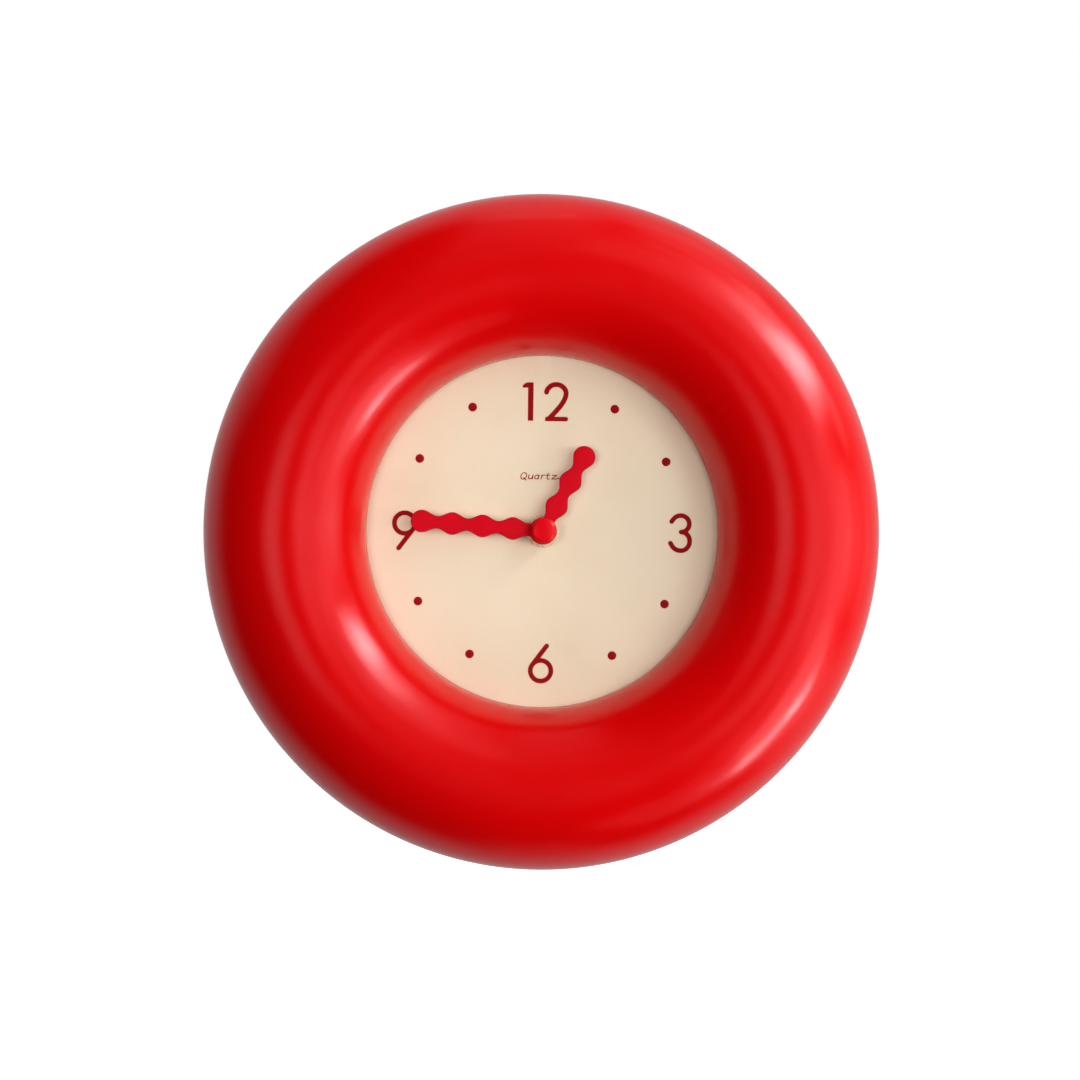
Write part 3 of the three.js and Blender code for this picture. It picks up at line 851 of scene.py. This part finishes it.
for k in range(6):
    x, z = clockwise(RING_R, 30 + 60 * k)
    towers.append(lathe(f"tower_{k}", [(0, -21.7), (4.5, -21.7), (4.8, -3), (5.4, -1.5), (0, -1.5)], 40, x, z, closed=False))
    wells.append(
        lathe(
            f"well_{k}",
            [(0, -23), (1.75, -23), (1.75, -17.5), (3.4, -17.5), (3.4, -0.45), (3.9, 0.05), (3.9, 1), (0, 1)],
            40,
            x,
            z,
            closed=False,
        )
    )
rear = boolean(rear, merge("towers", *towers), "UNION")


def keyhole(o):
    """Outline of the keyhole grown by o: a round for the nail's head and a slot above it."""
    R, w = 4.75 + o, 2.25 + o
    cz = HANG - 12
    a = math.asin(w / R)
    pts = [
        (R * math.sin(t), cz + R * math.cos(t))
        for t in np.linspace(a, 2 * math.pi - a, 40)
    ]
    top = HANG - 2.25
    pts += [(w * math.cos(t), top + w * math.sin(t)) for t in np.linspace(math.pi, 0, 17)]
    return pts


def stack(name, rows):
    """Closed solid through outlines of equal length: rows of (outline, y)."""
    verts, faces = [], []
    n = len(rows[0][0])
    for pts, y in rows:
        verts += [(x, y, z) for x, z in pts]
    for k in range(len(rows) - 1):
        for i in range(n):
            j = (i + 1) % n
            faces.append([k * n + i, k * n + j, (k + 1) * n + j, (k + 1) * n + i])
    faces.append(list(range(n)))
    faces.append(list(range((len(rows) - 1) * n, len(rows) * n)))
    return build(name, verts, faces)


tools = wells + [stack("key_cut", [(keyhole(0), -5), (keyhole(0), -0.5), (keyhole(0.55), 0.05), (keyhole(0.55), 1)])]
rear = boolean(rear, merge("cuts", *tools), "DIFFERENCE")
key = plate("key", [rect(-1.7, 1.7, 81.0, 84.2, 0.3, 3)], -21.7, -15, 0.25)
rear = boolean(rear, key, "UNION")
place(rear, MAT_RING_BACK, "case", ["rear_shell"], 32)

# low stiffening webs inside the back are moulded with it
webs = []
for k in range(12):
    a = 15 + 30 * k
    x0, z0 = clockwise(82.0, a)
    x1, z1 = clockwise(134.0, a)
    dx, dz = clockwise(1.0, a)
    nx, nz = dz * 0.75, -dx * 0.75
    webs.append(
        plate(
            f"w{k}",
            [[(x0 + nx, z0 + nz), (x1 + nx, z1 + nz), (x1 - nx, z1 - nz), (x0 - nx, z0 - nz)]],
            -4.4,
            -2.6,
            0.3,
        )
    )
place(merge("rear_shell_webs", *webs), MAT_RING_BACK, "case")

# ------------------------------------------------------------------ case screws
for k in range(6):
    x, z = clockwise(RING_R, 30 + 60 * k)
    head = fillet(
        [(0, -14.95), (1.9, -15.05), (2.8, -15.8), (2.8, -17.2), (1.42, -17.2)],
        [0, 0.5, 0.4, 0.15, 0.1],
        4,
        closed=False,
    )
    body = list(head)
    y = -17.6
    while y > -30.0:  # coarse thread for plastic
        body += [(1.05, y), (1.05, y - 0.35), (1.4, y - 0.55), (1.4, y - 0.65), (1.05, y - 0.85)]
        y -= 1.1
    body += [(0.95, -30.6), (0, -31.9)]
    s = lathe(f"case_screw_{k + 1}_turned", body, 32, x, z, closed=False)
    cross = []
    for dx, dz in ((1.55, 0.32), (0.32, 1.55)):
        cross.append(
            stack(
                "x",
                [
                    (rect(x - dx * 0.55, x + dx * 0.55, z - dz * 0.55, z + dz * 0.55), -16.3),
                    (rect(x - dx, x + dx, z - dz, z + dz), -14.9),
                    (rect(x - dx, x + dx, z - dz, z + dz), -14.0),
                ],
            )
        )
    s = boolean(s, cross[0], "DIFFERENCE")
    s = boolean(s, cross[1], "DIFFERENCE")
    place(s, MAT_STEEL, "case", [f"case_screw_{k + 1}"], 30)

# ------------------------------------------------------------------ dial
dial = lathe(
    "dial_disc",
    fillet([(4.2, DIAL_F), (83.5, DIAL_F), (83.5, DIAL_B), (4.2, DIAL_B)], [0.15, 0.3, 0.3, 0.15], 3),
    SEGS,
)
dial = boolean(dial, plate("notch", [rect(-2.1, 2.1, 80.5, 86)], DIAL_F - 2, DIAL_B + 2), "DIFFERENCE")
place(dial, MAT_DIAL, "case", ["dial_plate"], 35)

INK = 0.09  # height of the screen-printed ink


def glyph(name, field, cx, cz, size=12.0, high=None, step=0.13):
    high = high or size
    loops = contour(field, -size, size, -high, high, step)
    ob = plates(name, [[(x + cx, z + cz) for x, z in l] for l in loops], DIAL_F - INK, DIAL_F - 0.002)
    return place(ob, MAT_INK, "case", (), 50)


W = 1.10  # half the stroke


def num_12(X, Z):
    k = 0.02267  # drawing units to millimetres

    def q(x, y):
        return ((x - 785) * k, (590 - y) * k)

    two = smooth_path(
        [q(*p) for p in ((808, 402), (826, 350), (868, 298), (928, 262), (1000, 250), (1072, 262), (1132, 300), (1176, 355), (1192, 415), (1182, 490), (1148, 572), (1085, 670), (1000, 772), (905, 878))]
    )
    two2 = [two[-1], q(862, 927)]
    base = [q(830, 927), q(1192, 927)]
    toe = [q(*p) for p in ((772, 968), (800, 936), (850, 880), (935, 900), (900, 968))]
    stem = [q(*p) for p in ((452, 222), (546, 222), (546, 962), (452, 962))]
    flag = [q(*p) for p in ((340, 300), (352, 276), (378, 248), (412, 226), (450, 221), (546, 221), (546, 312), (352, 314))]
    d = d_polyline(X, Z, two, W)
    d = np.minimum(d, d_polyline(X, Z, two2, W))
    d = np.minimum(d, d_polyline(X, Z, base, 1.02))
    d = np.minimum(d, d_polygon(X, Z, toe, 0.06))
    d = np.minimum(d, d_polygon(X, Z, stem, 0.14))
    return np.minimum(d, d_polygon(X, Z, flag, 0.14))


def num_3(X, Z):
    k = 0.01844

    def q(x, y):
        return ((x - 602) * k, (775 - y) * k)

    top = smooth_path(
        [q(*p) for p in ((402, 498), (462, 418), (535, 368), (618, 352), (700, 366), (772, 412), (818, 486), (828, 566), (806, 645), (752, 708), (692, 740), (632, 748))]
    )
    low = smooth_path(
        [q(*p) for p in ((632, 748), (712, 762), (784, 812), (830, 892), (840, 984), (816, 1078), (758, 1152), (686, 1190), (606, 1198), (520, 1176), (444, 1122), (396, 1052), (376, 1020))]
    )
    return np.minimum(d_polyline(X, Z, top, 1.04), d_polyline(X, Z, low, 1.04))


def num_6(X, Z):
    c, r = (0.0, -3.23), 4.57
    ring = np.abs(np.hypot(X - c[0], Z - c[1]) - r) - 1.04
    end = np.array((2.58, 7.84))
    v = end - np.array(c)
    d = np.linalg.norm(v)
    a = math.atan2(v[1], v[0]) + math.acos(r / d)
    tan = (c[0] + r * math.cos(a), c[1] + r * math.sin(a))
    return np.minimum(ring, d_polyline(X, Z, [tuple(end), tan], 1.04))


glyph("dial_numeral_12", num_12, 0.63, 57.7, 13)
glyph("dial_numeral_3", num_3, 61.3, 0.0)
glyph("dial_numeral_6", num_6, 0.0, -58.7)
glyph("dial_numeral_9", lambda X, Z: num_6(-X, -Z), -61.1, -0.35)


def word(X, Z):
    """The generic word QUARTZ in a small slanted hand."""
    X = X - 0.22 * Z
    w = 0.21
    strokes = [
        [(-8.6 + 1.25 * math.cos(t), 0.15 + 1.45 * math.sin(t)) for t in np.linspace(0, 2 * math.pi, 24)],
        [(-8.3, -0.6), (-7.2, -1.7)],
        smooth_path([(-6.3, 0.6), (-6.35, -0.6), (-5.7, -1.15), (-4.8, -0.7), (-4.5, 0.6)], 4),
        [(-4.5, 0.6), (-4.45, -1.1)],
        [(-2.75 + 0.85 * math.cos(t), -0.25 + 0.85 * math.sin(t)) for t in np.linspace(0, 2 * math.pi, 20)],
        [(-1.9, 0.6), (-1.85, -1.1)],
        [(-0.6, 0.6), (-0.6, -1.1)],
        smooth_path([(-0.6, -0.1), (-0.1, 0.5), (0.7, 0.6)], 4),
        smooth_path([(2.0, 1.5), (2.0, -0.6), (2.4, -1.1), (3.0, -1.05)], 4),
        [(1.3, 0.6), (2.9, 0.6)],
        [(4.1, 0.55), (6.0, 0.55), (4.1, -1.05), (6.1, -1.05)],
        smooth_path([(6.1, -1.05), (7.2, -0.8), (8.4, -1.0), (9.6, -0.9)], 4),
    ]
    d = np.full(X.shape, 1e9)
    for p in strokes:
        d = np.minimum(d, d_polyline(X, Z, p, w))
    return d


glyph("dial_word_quartz", word, 0.0, 24.4, 11.0, 2.6, 0.06)
dots = []
for h in (1, 2, 4, 5, 7, 8, 10, 11):
    x, z = clockwise(63.3, 30 * h)
    dots.append(plate(f"d{h}", [circle(1.95, 48, x, z)], DIAL_F - INK, DIAL_F - 0.002, 0.03))
place(merge("dial_hour_dots", *dots), MAT_INK, "case", (), 50)

# ------------------------------------------------------------------ fixing in the middle of the dial
lo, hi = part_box("threaded_bushing")
bp = [(2.8, lo[1] / MM), (3.55, lo[1] / MM)]
y = lo[1] / MM + 0.35
while y < -17.4:  # M8 x 0.75 thread
    bp += [(3.97, y), (3.97, y + 0.12), (3.55, y + 0.36), (3.55, y + 0.48)]
    y += 0.75
bp += [(3.95, -16.95), (5.5, -16.95), (5.5, -16.35), (2.8, -16.35)]
place(lathe("bushing_threaded_tube", bp, 64), MAT_BRASS, "case", ["threaded_bushing"], 30)

lo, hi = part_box("dial_washer")
place(
    lathe("dial_washer_stamped", fillet([(4.25, lo[1] / MM), (7.2, lo[1] / MM), (7.2, hi[1] / MM), (4.25, hi[1] / MM)], 0.14, 3), 96),
    MAT_BRASS,
    "case",
    ["dial_washer"],
    50,
)
lo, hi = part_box("bushing_nut")
hexa = [(11 / math.sqrt(3) * math.cos(math.radians(60 * i + 12)), 11 / math.sqrt(3) * math.sin(math.radians(60 * i + 12))) for i in range(6)]
nut = plate("bushing_nut_hex", [fillet(hexa, 0.25, 3), circle(4.18, 64)], lo[1] / MM, hi[1] / MM, 0.0)
cone = lathe("c", [(0, lo[1] / MM - 0.01), (5.5, lo[1] / MM - 0.01), (6.6, lo[1] / MM + 0.62), (6.6, hi[1] / MM + 0.2), (0, hi[1] / MM + 0.2)], 96, closed=False)
nut = boolean(nut, cone, "INTERSECT")
place(nut, MAT_BRASS, "case", ["bushing_nut"], 25)
lo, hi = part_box("rubber_gasket")
place(
    lathe("rubber_gasket_ring", fillet([(4.3, lo[1] / MM), (10, lo[1] / MM), (10, hi[1] / MM), (4.3, hi[1] / MM)], 0.25, 4), 96),
    MAT_RUBBER,
    "case",
    ["rubber_gasket"],
    50,
)

# ------------------------------------------------------------------ hands
BEAD, WAIST = 5.0, 2.75


def chain(pitch, beads, deg):
    """Outline of a chain of beads from the hub outwards, clockwise from 12."""

    def half(s):
        return (BEAD + WAIST) / 2 + (BEAD - WAIST) / 2 * math.cos(2 * math.pi * s / pitch)

    n = 26 * beads
    side = [(half(i * beads * pitch / n), i * beads * pitch / n) for i in range(1, n)]
    tip, hub = [], []
    for i in range(41):
        a = math.pi * i / 40
        tip.append((BEAD * math.cos(a), beads * pitch + BEAD * math.sin(a)))
        hub.append((-BEAD * math.cos(a), -BEAD * math.sin(a)))
    pts = side + tip + [(-x, z) for x, z in reversed(side)] + hub
    a = math.radians(deg)
    return [(x * math.cos(a) + z * math.sin(a), -x * math.sin(a) + z * math.cos(a)) for x, z in pts]


def hand(name, node, pitch, beads, deg, hole, body):
    lo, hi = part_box(node)
    ob = plate(name, [chain(pitch, beads, deg), circle(hole, 48)], lo[1] / MM, hi[1] / MM, 0.36, 5, 0.08)
    place(ob, MAT_HAND, body, [node], 40)
    # the side walls (faces not facing along Y) take the darker red: painted shade along the hands' edges
    ob.data.materials.append(MAT_HAND_SIDE_PAINTED_SHADE)
    for f in ob.data.polygons:
        f.material_index = 0 if abs(f.normal.y) > 0.97 else 1
    return ob


hand("hour_hand_stamped", "hour_hand", 12.5, 3, 28.6, 3.45, "hour")
hand("minute_hand_stamped", "minute_hand", 13.4, 4, 273.9, 2.5, "minute")
for node, ri, rm, rf, body in (("hour_hand_bush", 2.65, 3.2, 4.2, "hour"), ("minute_hand_bush", 1.68, 2.25, 3.3, "minute")):
    lo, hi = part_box(node)
    a, b = lo[1] / MM, hi[1] / MM
    place(
        lathe(node + "_turned", fillet([(ri, a), (rm, a), (rm, b - 0.5), (rf, b - 0.5), (rf, b), (ri, b)], 0.1, 3), 64),
        MAT_BRASS,
        body,
        [node],
        40,
    )
lo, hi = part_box("hand_cap")
a, b = lo[1] / MM, hi[1] / MM
CAP_R = (hi[0] - lo[0]) / 2 / MM
crown = [(4.5 * k / 12, a + 0.3 * (k / 12) ** 2.2) for k in range(12)]
cap = crown + fillet(
    [(4.5, a + 0.3), (5.05, a + 0.75), (5.25, a + 2.55), (5.85, a + 2.85), (CAP_R, b - 0.9), (CAP_R, b), (1.75, b), (1.75, b - 1.75), (0, b - 1.75)],
    [0, 0.6, 0.15, 0.5, 0.5, 0.25, 0.2, 0, 0],
    6,
    closed=False,
)
cap = place(lathe("hand_cap_domed", cap, 96, closed=False), MAT_CAP, "minute", ["hand_cap"], 40)
# the steep walls (normals mostly sideways) take the darker red: painted shade around the cap's side
cap.data.materials.append(MAT_CAP_SIDE_PAINTED_SHADE)
for f in cap.data.polygons:
    f.material_index = 1 if abs(f.normal.y) < 0.6 else 0

# ------------------------------------------------------------------ battery
ROT = Matrix(((0, 1, 0), (-1, 0, 0), (0, 0, 1)))  # an axis along Y turned to run along X
bx0, bx1 = BAT_LO[0] / MM - AX / MM, BAT_HI[0] / MM - AX / MM
by, bz = (BAT_LO[1] + BAT_HI[1]) / 2 / MM, (BAT_LO[2] + BAT_HI[2]) / 2 / MM - AZ / MM
BR = (BAT_HI[2] - BAT_LO[2]) / 2 / MM
sleeve = fillet(
    [(0, bx0), (5.6, bx0), (5.8, bx0 + 0.25), (6.6, bx0 + 0.1), (BR, bx0 + 0.45), (BR, bx1 - 1.5), (6.6, bx1 - 1.05), (5.9, bx1 - 1.3), (5.5, bx1 - 1.15), (2.75, bx1 - 1.1), (2.75, bx1 - 0.12), (2.3, bx1), (0, bx1)],
    [0, 0.1, 0.1, 0.3, 0.4, 0.4, 0.3, 0.1, 0.1, 0.2, 0.3, 0.3, 0],
    4,
    closed=False,
)


def lathe_x(name, profile, segs, cy, cz):
    verts, faces = [], []
    v, f = lathe_data(profile, segs, 0, 0, closed=False)
    return build(name, [(p[1], cy + p[0], cz + p[2]) for p in v], f)


cell = lathe_x("battery_aa_cell", sleeve, 96, by, bz)
cell.data.materials.append(MAT_BATTERY)
cell.data.materials.append(MAT_NICKEL)
for f in cell.data.polygons:
    x = (f.center.x - AX) / MM
    rr = math.hypot(f.center.y / MM - by, (f.center.z - AZ) / MM - bz)
    f.material_index = 1 if (x > bx1 - 1.3 and rr < 5.6) or (x < bx0 + 0.3 and rr < 5.9) else 0
shade(cell, 40)
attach(cell, "battery")
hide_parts("battery_aa")

# ------------------------------------------------------------------ setting knob
lo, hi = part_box("setting_knob")
kx, kz = (lo[0] + hi[0]) / 2 / MM - AX / MM, (lo[2] + hi[2]) / 2 / MM - AZ / MM
kb = hi[1] / MM
KNOB_R = 6.4
rimpts = []
for i in range(36 * 6):
    t = 2 * math.pi * i / (36 * 6)
    rr = KNOB_R - 0.16 + 0.16 * math.cos(36 * t)
    rimpts.append((kx + rr * math.cos(t), kz + rr * math.sin(t)))
knob = plate("knob_disc", [rimpts], kb - 1.4, kb, 0.15, 2, 0.25)
knob = boolean(knob, plate("slot", [rect(kx - 4.5, kx + 4.5, kz - 0.65, kz + 0.65, 0.3, 3)], kb - 0.6, kb + 1), "DIFFERENCE")
for sgn in (1, -1):  # pressed ring in the face, broken by the slot
    ringcut = plate(
        "rc",
        [
            fillet(
                [
                    (kx + 3.2 * math.cos(math.radians(t)), kz + sgn * 3.2 * math.sin(math.radians(t)))
                    for t in np.linspace(25, 155, 24)
                ]
                + [
                    (kx + 4.0 * math.cos(math.radians(t)), kz + sgn * 4.0 * math.sin(math.radians(t)))
                    for t in np.linspace(155, 25, 24)
                ],
                0,
            )
        ],
        kb - 0.3,
        kb + 1,
    )
    knob = boolean(knob, ringcut, "DIFFERENCE")


def pinion(teeth, module, cx, cz, phase):
    r = teeth * module / 2
    step = 2 * math.pi / teeth
    out = []
    for k in range(teeth):
        a = phase + k * step
        fl = [(r - 1.3 * module, 0.19), (r + 0.05 * module, 0.17), (r + 0.4 * module, 0.13), (r + 0.6 * module, 0.07)]
        out += [(cx + q * math.cos(a - h * step), cz + q * math.sin(a - h * step)) for q, h in fl]
        out += [(cx + q * math.cos(a + h * step), cz + q * math.sin(a + h * step)) for q, h in reversed(fl)]
    return out


shaft = lathe(
    "shaft",
    fillet([(0, -16.4), (0.6, -16.4), (0.6, -14.9), (1.5, -13.5), (1.5, kb - 1.2), (0, kb - 1.2)], [0, 0.1, 0, 0, 0, 0], 2, closed=False),
    32,
    kx,
    kz,
    closed=False,
)
AXM = np.array((8 * math.cos(math.radians(100)), 8 * math.sin(math.radians(100))))
AXK = 2 * AXM
motion_phase = math.atan2(AXM[1], AXM[0]) + math.pi + math.pi / 30
direction = math.atan2(*(AXK - AXM)[::-1])
pitch30 = 2 * math.pi / 30
off = (direction - motion_phase) % pitch30
kp = plate("kp", [pinion(10, 0.4, kx, kz, direction + math.pi + off * 3 + math.pi / 10)], -14.9, -13.5)
knob = merge("setting_knob_moulded", knob, shaft, kp)
place(knob, MAT_KNOB, "setting", ["setting_knob"], 35)

# ------------------------------------------------------------------ movement: details moulded on the rear cover
cov_lo, cov_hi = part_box("movement_cover")
cb = cov_hi[1] / MM
details = [
    plate("ring", [circle(8.6, 96, kx, kz), circle(7.9, 96, kx, kz)], cb - 0.1, cb + 0.35, 0.0, 2, 0.12),
]
# two curved arrows that show which way the hands are set
for base in (25, 205):
    a0, a1 = math.radians(base), math.radians(base + 110)
    band = [(kx + 9.9 * math.cos(t), kz + 9.9 * math.sin(t)) for t in np.linspace(a0, a1, 24)]
    band += [(kx + 9.3 * math.cos(t), kz + 9.3 * math.sin(t)) for t in np.linspace(a1, a0, 24)]
    details.append(plate("arrow", [band], cb - 0.1, cb + 0.25, 0.0, 2, 0.08))
    t = a1
    tip = a1 + 0.22
    head = [
        (kx + 8.9 * math.cos(t), kz + 8.9 * math.sin(t)),
        (kx + 10.3 * math.cos(t), kz + 10.3 * math.sin(t)),
        (kx + 9.6 * math.cos(tip), kz + 9.6 * math.sin(tip)),
    ]
    details.append(plate("tip", [head], cb - 0.1, cb + 0.25, 0.0, 2, 0.05))
# finger grooves for lifting the cell and ribs beside the bay
for i in range(5):
    z = -3.4 - 1.3 * i
    details.append(plate("rib", [rect(12, 25.5, z - 0.3, z + 0.3, 0.28, 4)], cb - 0.1, cb + 0.3, 0.0, 2, 0.1))
    details.append(plate("rib", [rect(-25.5, -12, z - 0.3, z + 0.3, 0.28, 4)], cb - 0.1, cb + 0.3, 0.0, 2, 0.1))
place(merge("cover_raised_marks", *details), MAT_BLACK, "case", (), 40)

# polarity marks on the long wall over the bay
plus = [
    plate("p1", [rect(17.2, 20.2, 0.7, 1.3, 0.1, 2)], cb - 0.1, cb + 0.3, 0.0, 2, 0.08),
    plate("p2", [rect(18.4, 19.0, -0.5, 2.5, 0.1, 2)], cb - 0.1, cb + 0.29, 0.0, 2, 0.08),
    plate("m1", [rect(-20.2, -17.2, 0.7, 1.3, 0.1, 2)], cb - 0.1, cb + 0.3, 0.0, 2, 0.08),
]
place(merge("cover_polarity_marks", *plus), MAT_BLACK, "case", (), 40)

# ------------------------------------------------------------------ carried-over CAD nodes
CARRIED = {
    "movement_case": (MAT_BLACK, 0.25),
    "movement_cover": (MAT_BLACK, 0.2),
    "train_bridge": (MAT_NATURAL, 0.15),
    "coil_bobbin": (MAT_NATURAL, 0.08),
    "coil_winding": (MAT_WINDING, 0.15),
    "coil_core": (MAT_LAMINATION, 0.1),
    "stator": (MAT_LAMINATION, 0.1),
    "positive_contact": (MAT_NICKEL, 0.06),
    "negative_contact": (MAT_NICKEL, 0.06),
    "circuit_board": (MAT_BOARD, 0.08),
    "chip_blob": (MAT_CHIP, 0.0),
    "quartz_crystal": (MAT_NICKEL, 0.15),
    "rotor_magnet": (MAT_MAGNET, 0.12),
    "rotor_pinion": (MAT_WHEEL, 0.0),
    "intermediate_wheel": (MAT_WHEEL, 0.0),
    "seconds_wheel": (MAT_WHEEL, 0.0),
    "third_wheel": (MAT_WHEEL, 0.0),
    "motion_wheel": (MAT_WHEEL, 0.0),
    "hour_wheel": (MAT_WHEEL, 0.0),
    "centre_wheel": (MAT_BRASS, 0.0),
}
for node, (mat, width) in CARRIED.items():
    ob = NODES[node]
    ob.data.materials.clear()
    ob.data.materials.append(mat)
    if width:
        b = ob.modifiers.new("edge", "BEVEL")
        b.width, b.segments, b.limit_method, b.angle_limit = width * MM, 2, "ANGLE", math.radians(50)
        b.use_clamp_overlap = True

# ------------------------------------------------------------------ studio
scene = bpy.context.scene
scene.view_settings.view_transform = "Standard"
scene.view_settings.look = "None"
scene.view_settings.exposure = 0.0
scene.view_settings.gamma = 1.0

centre = Vector((AX, SPLIT * MM, AZ))


# Round soft boxes on a sphere about the clock: (degrees off the dial's axis, clock angle, size in metres, watts).
FILL = (
    (20, 90, 0.6, 6.87),
    (20, 180, 0.6, 0.56),
    (20, 270, 0.6, 8.77),
    (45, 0, 0.7, 1.10),
    (45, 45, 0.7, 4.21),
    (45, 90, 0.7, 8.27),
    (68, 45, 0.6, 7.96),
    (68, 90, 0.6, 6.72),
    (68, 135, 0.6, 5.03),
    (90, 0, 0.6, 8.38),
    (90, 120, 0.6, 7.43),
    (90, 180, 0.6, 2.01),
    (90, 300, 0.6, 2.98),
)
SHINE = (
    (25, 0, 0.85, 0.18),
    (25, 60, 0.85, 0.30),
    (25, 120, 0.85, 0.18),
    (45, 0, 0.85, 0.40),
    (45, 30, 0.85, 0.71),
    (45, 60, 0.85, 0.98),
    (45, 90, 0.85, 1.49),
    (45, 120, 0.85, 1.22),
    (62, 0, 0.85, 0.44),
    (62, 30, 0.85, 0.67),
    (62, 90, 0.85, 1.77),
    (62, 120, 0.85, 5.18),
    (62, 150, 0.85, 0.63),
    (78, 0, 0.85, 0.45),
    (78, 30, 0.85, 0.81),
    (78, 90, 0.85, 1.47),
    (78, 120, 0.85, 0.92),
    (96, 0, 0.85, 0.41),
    (96, 30, 0.85, 0.83),
    (96, 60, 0.85, 0.38),
    (96, 90, 0.85, 0.67),
    (96, 120, 0.85, 0.39),
    (57, 44, 0.36, 0.72),
    (57, 56, 0.36, 4.74),
    (67, 44, 0.36, 1.07),
    (67, 56, 0.36, 6.81),
    (77, 44, 0.36, 0.44),
    (77, 56, 0.36, 5.33),
    (87, 44, 0.36, 0.66),
    (87, 56, 0.36, 1.71),
    (87, 68, 0.36, 0.41),
    (72, 122, 0.30, 3.75),
    (72, 134, 0.30, 2.65),
)
BEHIND = ((150, 320, 0.9, 9.0), (140, 60, 0.8, 6.0))


def soft_box(name, off, clock, size, watts, colour=(1.0, 1.0, 1.0)):
    o, c = math.radians(off), math.radians(clock)
    v = Vector((math.sin(o) * math.sin(c), -math.cos(o), math.sin(o) * math.cos(c)))
    d = bpy.data.lights.new(name, "AREA")
    d.shape, d.size, d.energy, d.color = "DISK", size, watts, colour
    ob = bpy.data.objects.new(name, d)
    ob.location = centre + v * 1.7
    ob.rotation_mode = "QUATERNION"
    ob.rotation_quaternion = v.to_track_quat("Z", "Y")
    ob.visible_camera = False
    scene.collection.objects.link(ob)
    return ob


for k, row in enumerate(FILL):
    soft_box(f"fill_{k:02d}", *row).visible_glossy = False
for k, row in enumerate(SHINE):
    soft_box(f"shine_{k:02d}", *row).visible_diffuse = False
for k, row in enumerate(BEHIND):
    soft_box(f"behind_{k}", *row).visible_glossy = False

w = bpy.data.worlds.new("studio")
scene.world = w
w.use_nodes = True
nt = w.node_tree
nt.nodes.clear()
out = nt.nodes.new("ShaderNodeOutputWorld")
bg_seen = nt.nodes.new("ShaderNodeBackground")
bg_seen.inputs["Color"].default_value = (1, 1, 1, 1)
bg_seen.inputs["Strength"].default_value = 1.0
bg_light = nt.nodes.new("ShaderNodeBackground")
bg_light.inputs["Strength"].default_value = 1.0
tc = nt.nodes.new("ShaderNodeTexCoord")
sep = nt.nodes.new("ShaderNodeSeparateXYZ")
nt.links.new(tc.outputs["Generated"], sep.inputs["Vector"])
r = nt.nodes.new("ShaderNodeValToRGB")
mr = nt.nodes.new("ShaderNodeMapRange")
for key, v in zip(("From Min", "From Max", "To Min", "To Max"), (-1, 1, 0, 1)):
    mr.inputs[key].default_value = v
nt.links.new(sep.outputs["Y"], mr.inputs["Value"])
nt.links.new(mr.outputs["Result"], r.inputs["Fac"])
els = r.color_ramp.elements
els[0].position, els[0].color = 0.5, (0.0, 0.0, 0.0, 1)
els[1].position, els[1].color = 0.7, (0.55, 0.55, 0.55, 1)
nt.links.new(r.outputs["Color"], bg_light.inputs["Color"])
lp = nt.nodes.new("ShaderNodeLightPath")
mx = nt.nodes.new("ShaderNodeMixShader")
nt.links.new(lp.outputs["Is Camera Ray"], mx.inputs["Fac"])
nt.links.new(bg_light.outputs["Background"], mx.inputs[1])
nt.links.new(bg_seen.outputs["Background"], mx.inputs[2])
nt.links.new(mx.outputs["Shader"], out.inputs["Surface"])

# pale floor well under the clock
fm, fnt, fp = material("floor_white")
fn = tex(fnt, "Noise", 3.0, Detail=2.0)
fc = ramp(fnt, fn.outputs["Fac"], [(0.3, (0.93, 0.93, 0.93)), (0.7, (0.95, 0.95, 0.95))])
fnt.links.new(fc.outputs["Color"], fp.inputs["Base Color"])
fp.inputs["Roughness"].default_value = 0.9
fp.inputs["Specular IOR Level"].default_value = 0.0
fp.inputs["Emission Color"].default_value = (1, 1, 1, 1)
fp.inputs["Emission Strength"].default_value = 1.0
fz = cad_lo[2] - 0.25
fl = bpy.data.meshes.new("floor")
S = 6.0
fl.from_pydata([(-S, -S, fz), (S, -S, fz), (S, S, fz), (-S, S, fz)], [], [(0, 1, 2, 3)])
floor = bpy.data.objects.new("floor", fl)
floor.data.materials.append(fm)
scene.collection.objects.link(floor)
floor.visible_glossy = False
floor.visible_diffuse = False
floor.visible_shadow = False

# ------------------------------------------------------------------ camera
cam_data = bpy.data.cameras.new("camera")
cam_data.lens = 100.0
cam_data.sensor_width = 36.0
cam = bpy.data.objects.new("camera", cam_data)
PX = 0.300 / 675.2  # metres per pixel of the 1080 frame in the plane of the seam
dist = PX * 1080 * cam_data.lens / 36.0
aim = Vector((AX - 2.2 * PX, SPLIT * MM, AZ - 8.7 * PX))
turn = Matrix.Rotation(math.radians(-2.2), 3, "Z") @ Matrix.Rotation(math.radians(1.2), 3, "X")
cam.location = aim + turn @ Vector((0, -dist, 0))
cam.rotation_mode = "QUATERNION"
look = Matrix.Rotation(math.radians(90), 3, "X")
roll = Matrix.Rotation(math.radians(-0.7), 3, "Y")
cam.rotation_quaternion = (turn @ roll @ look).to_quaternion()
scene.collection.objects.link(cam)
scene.camera = cam
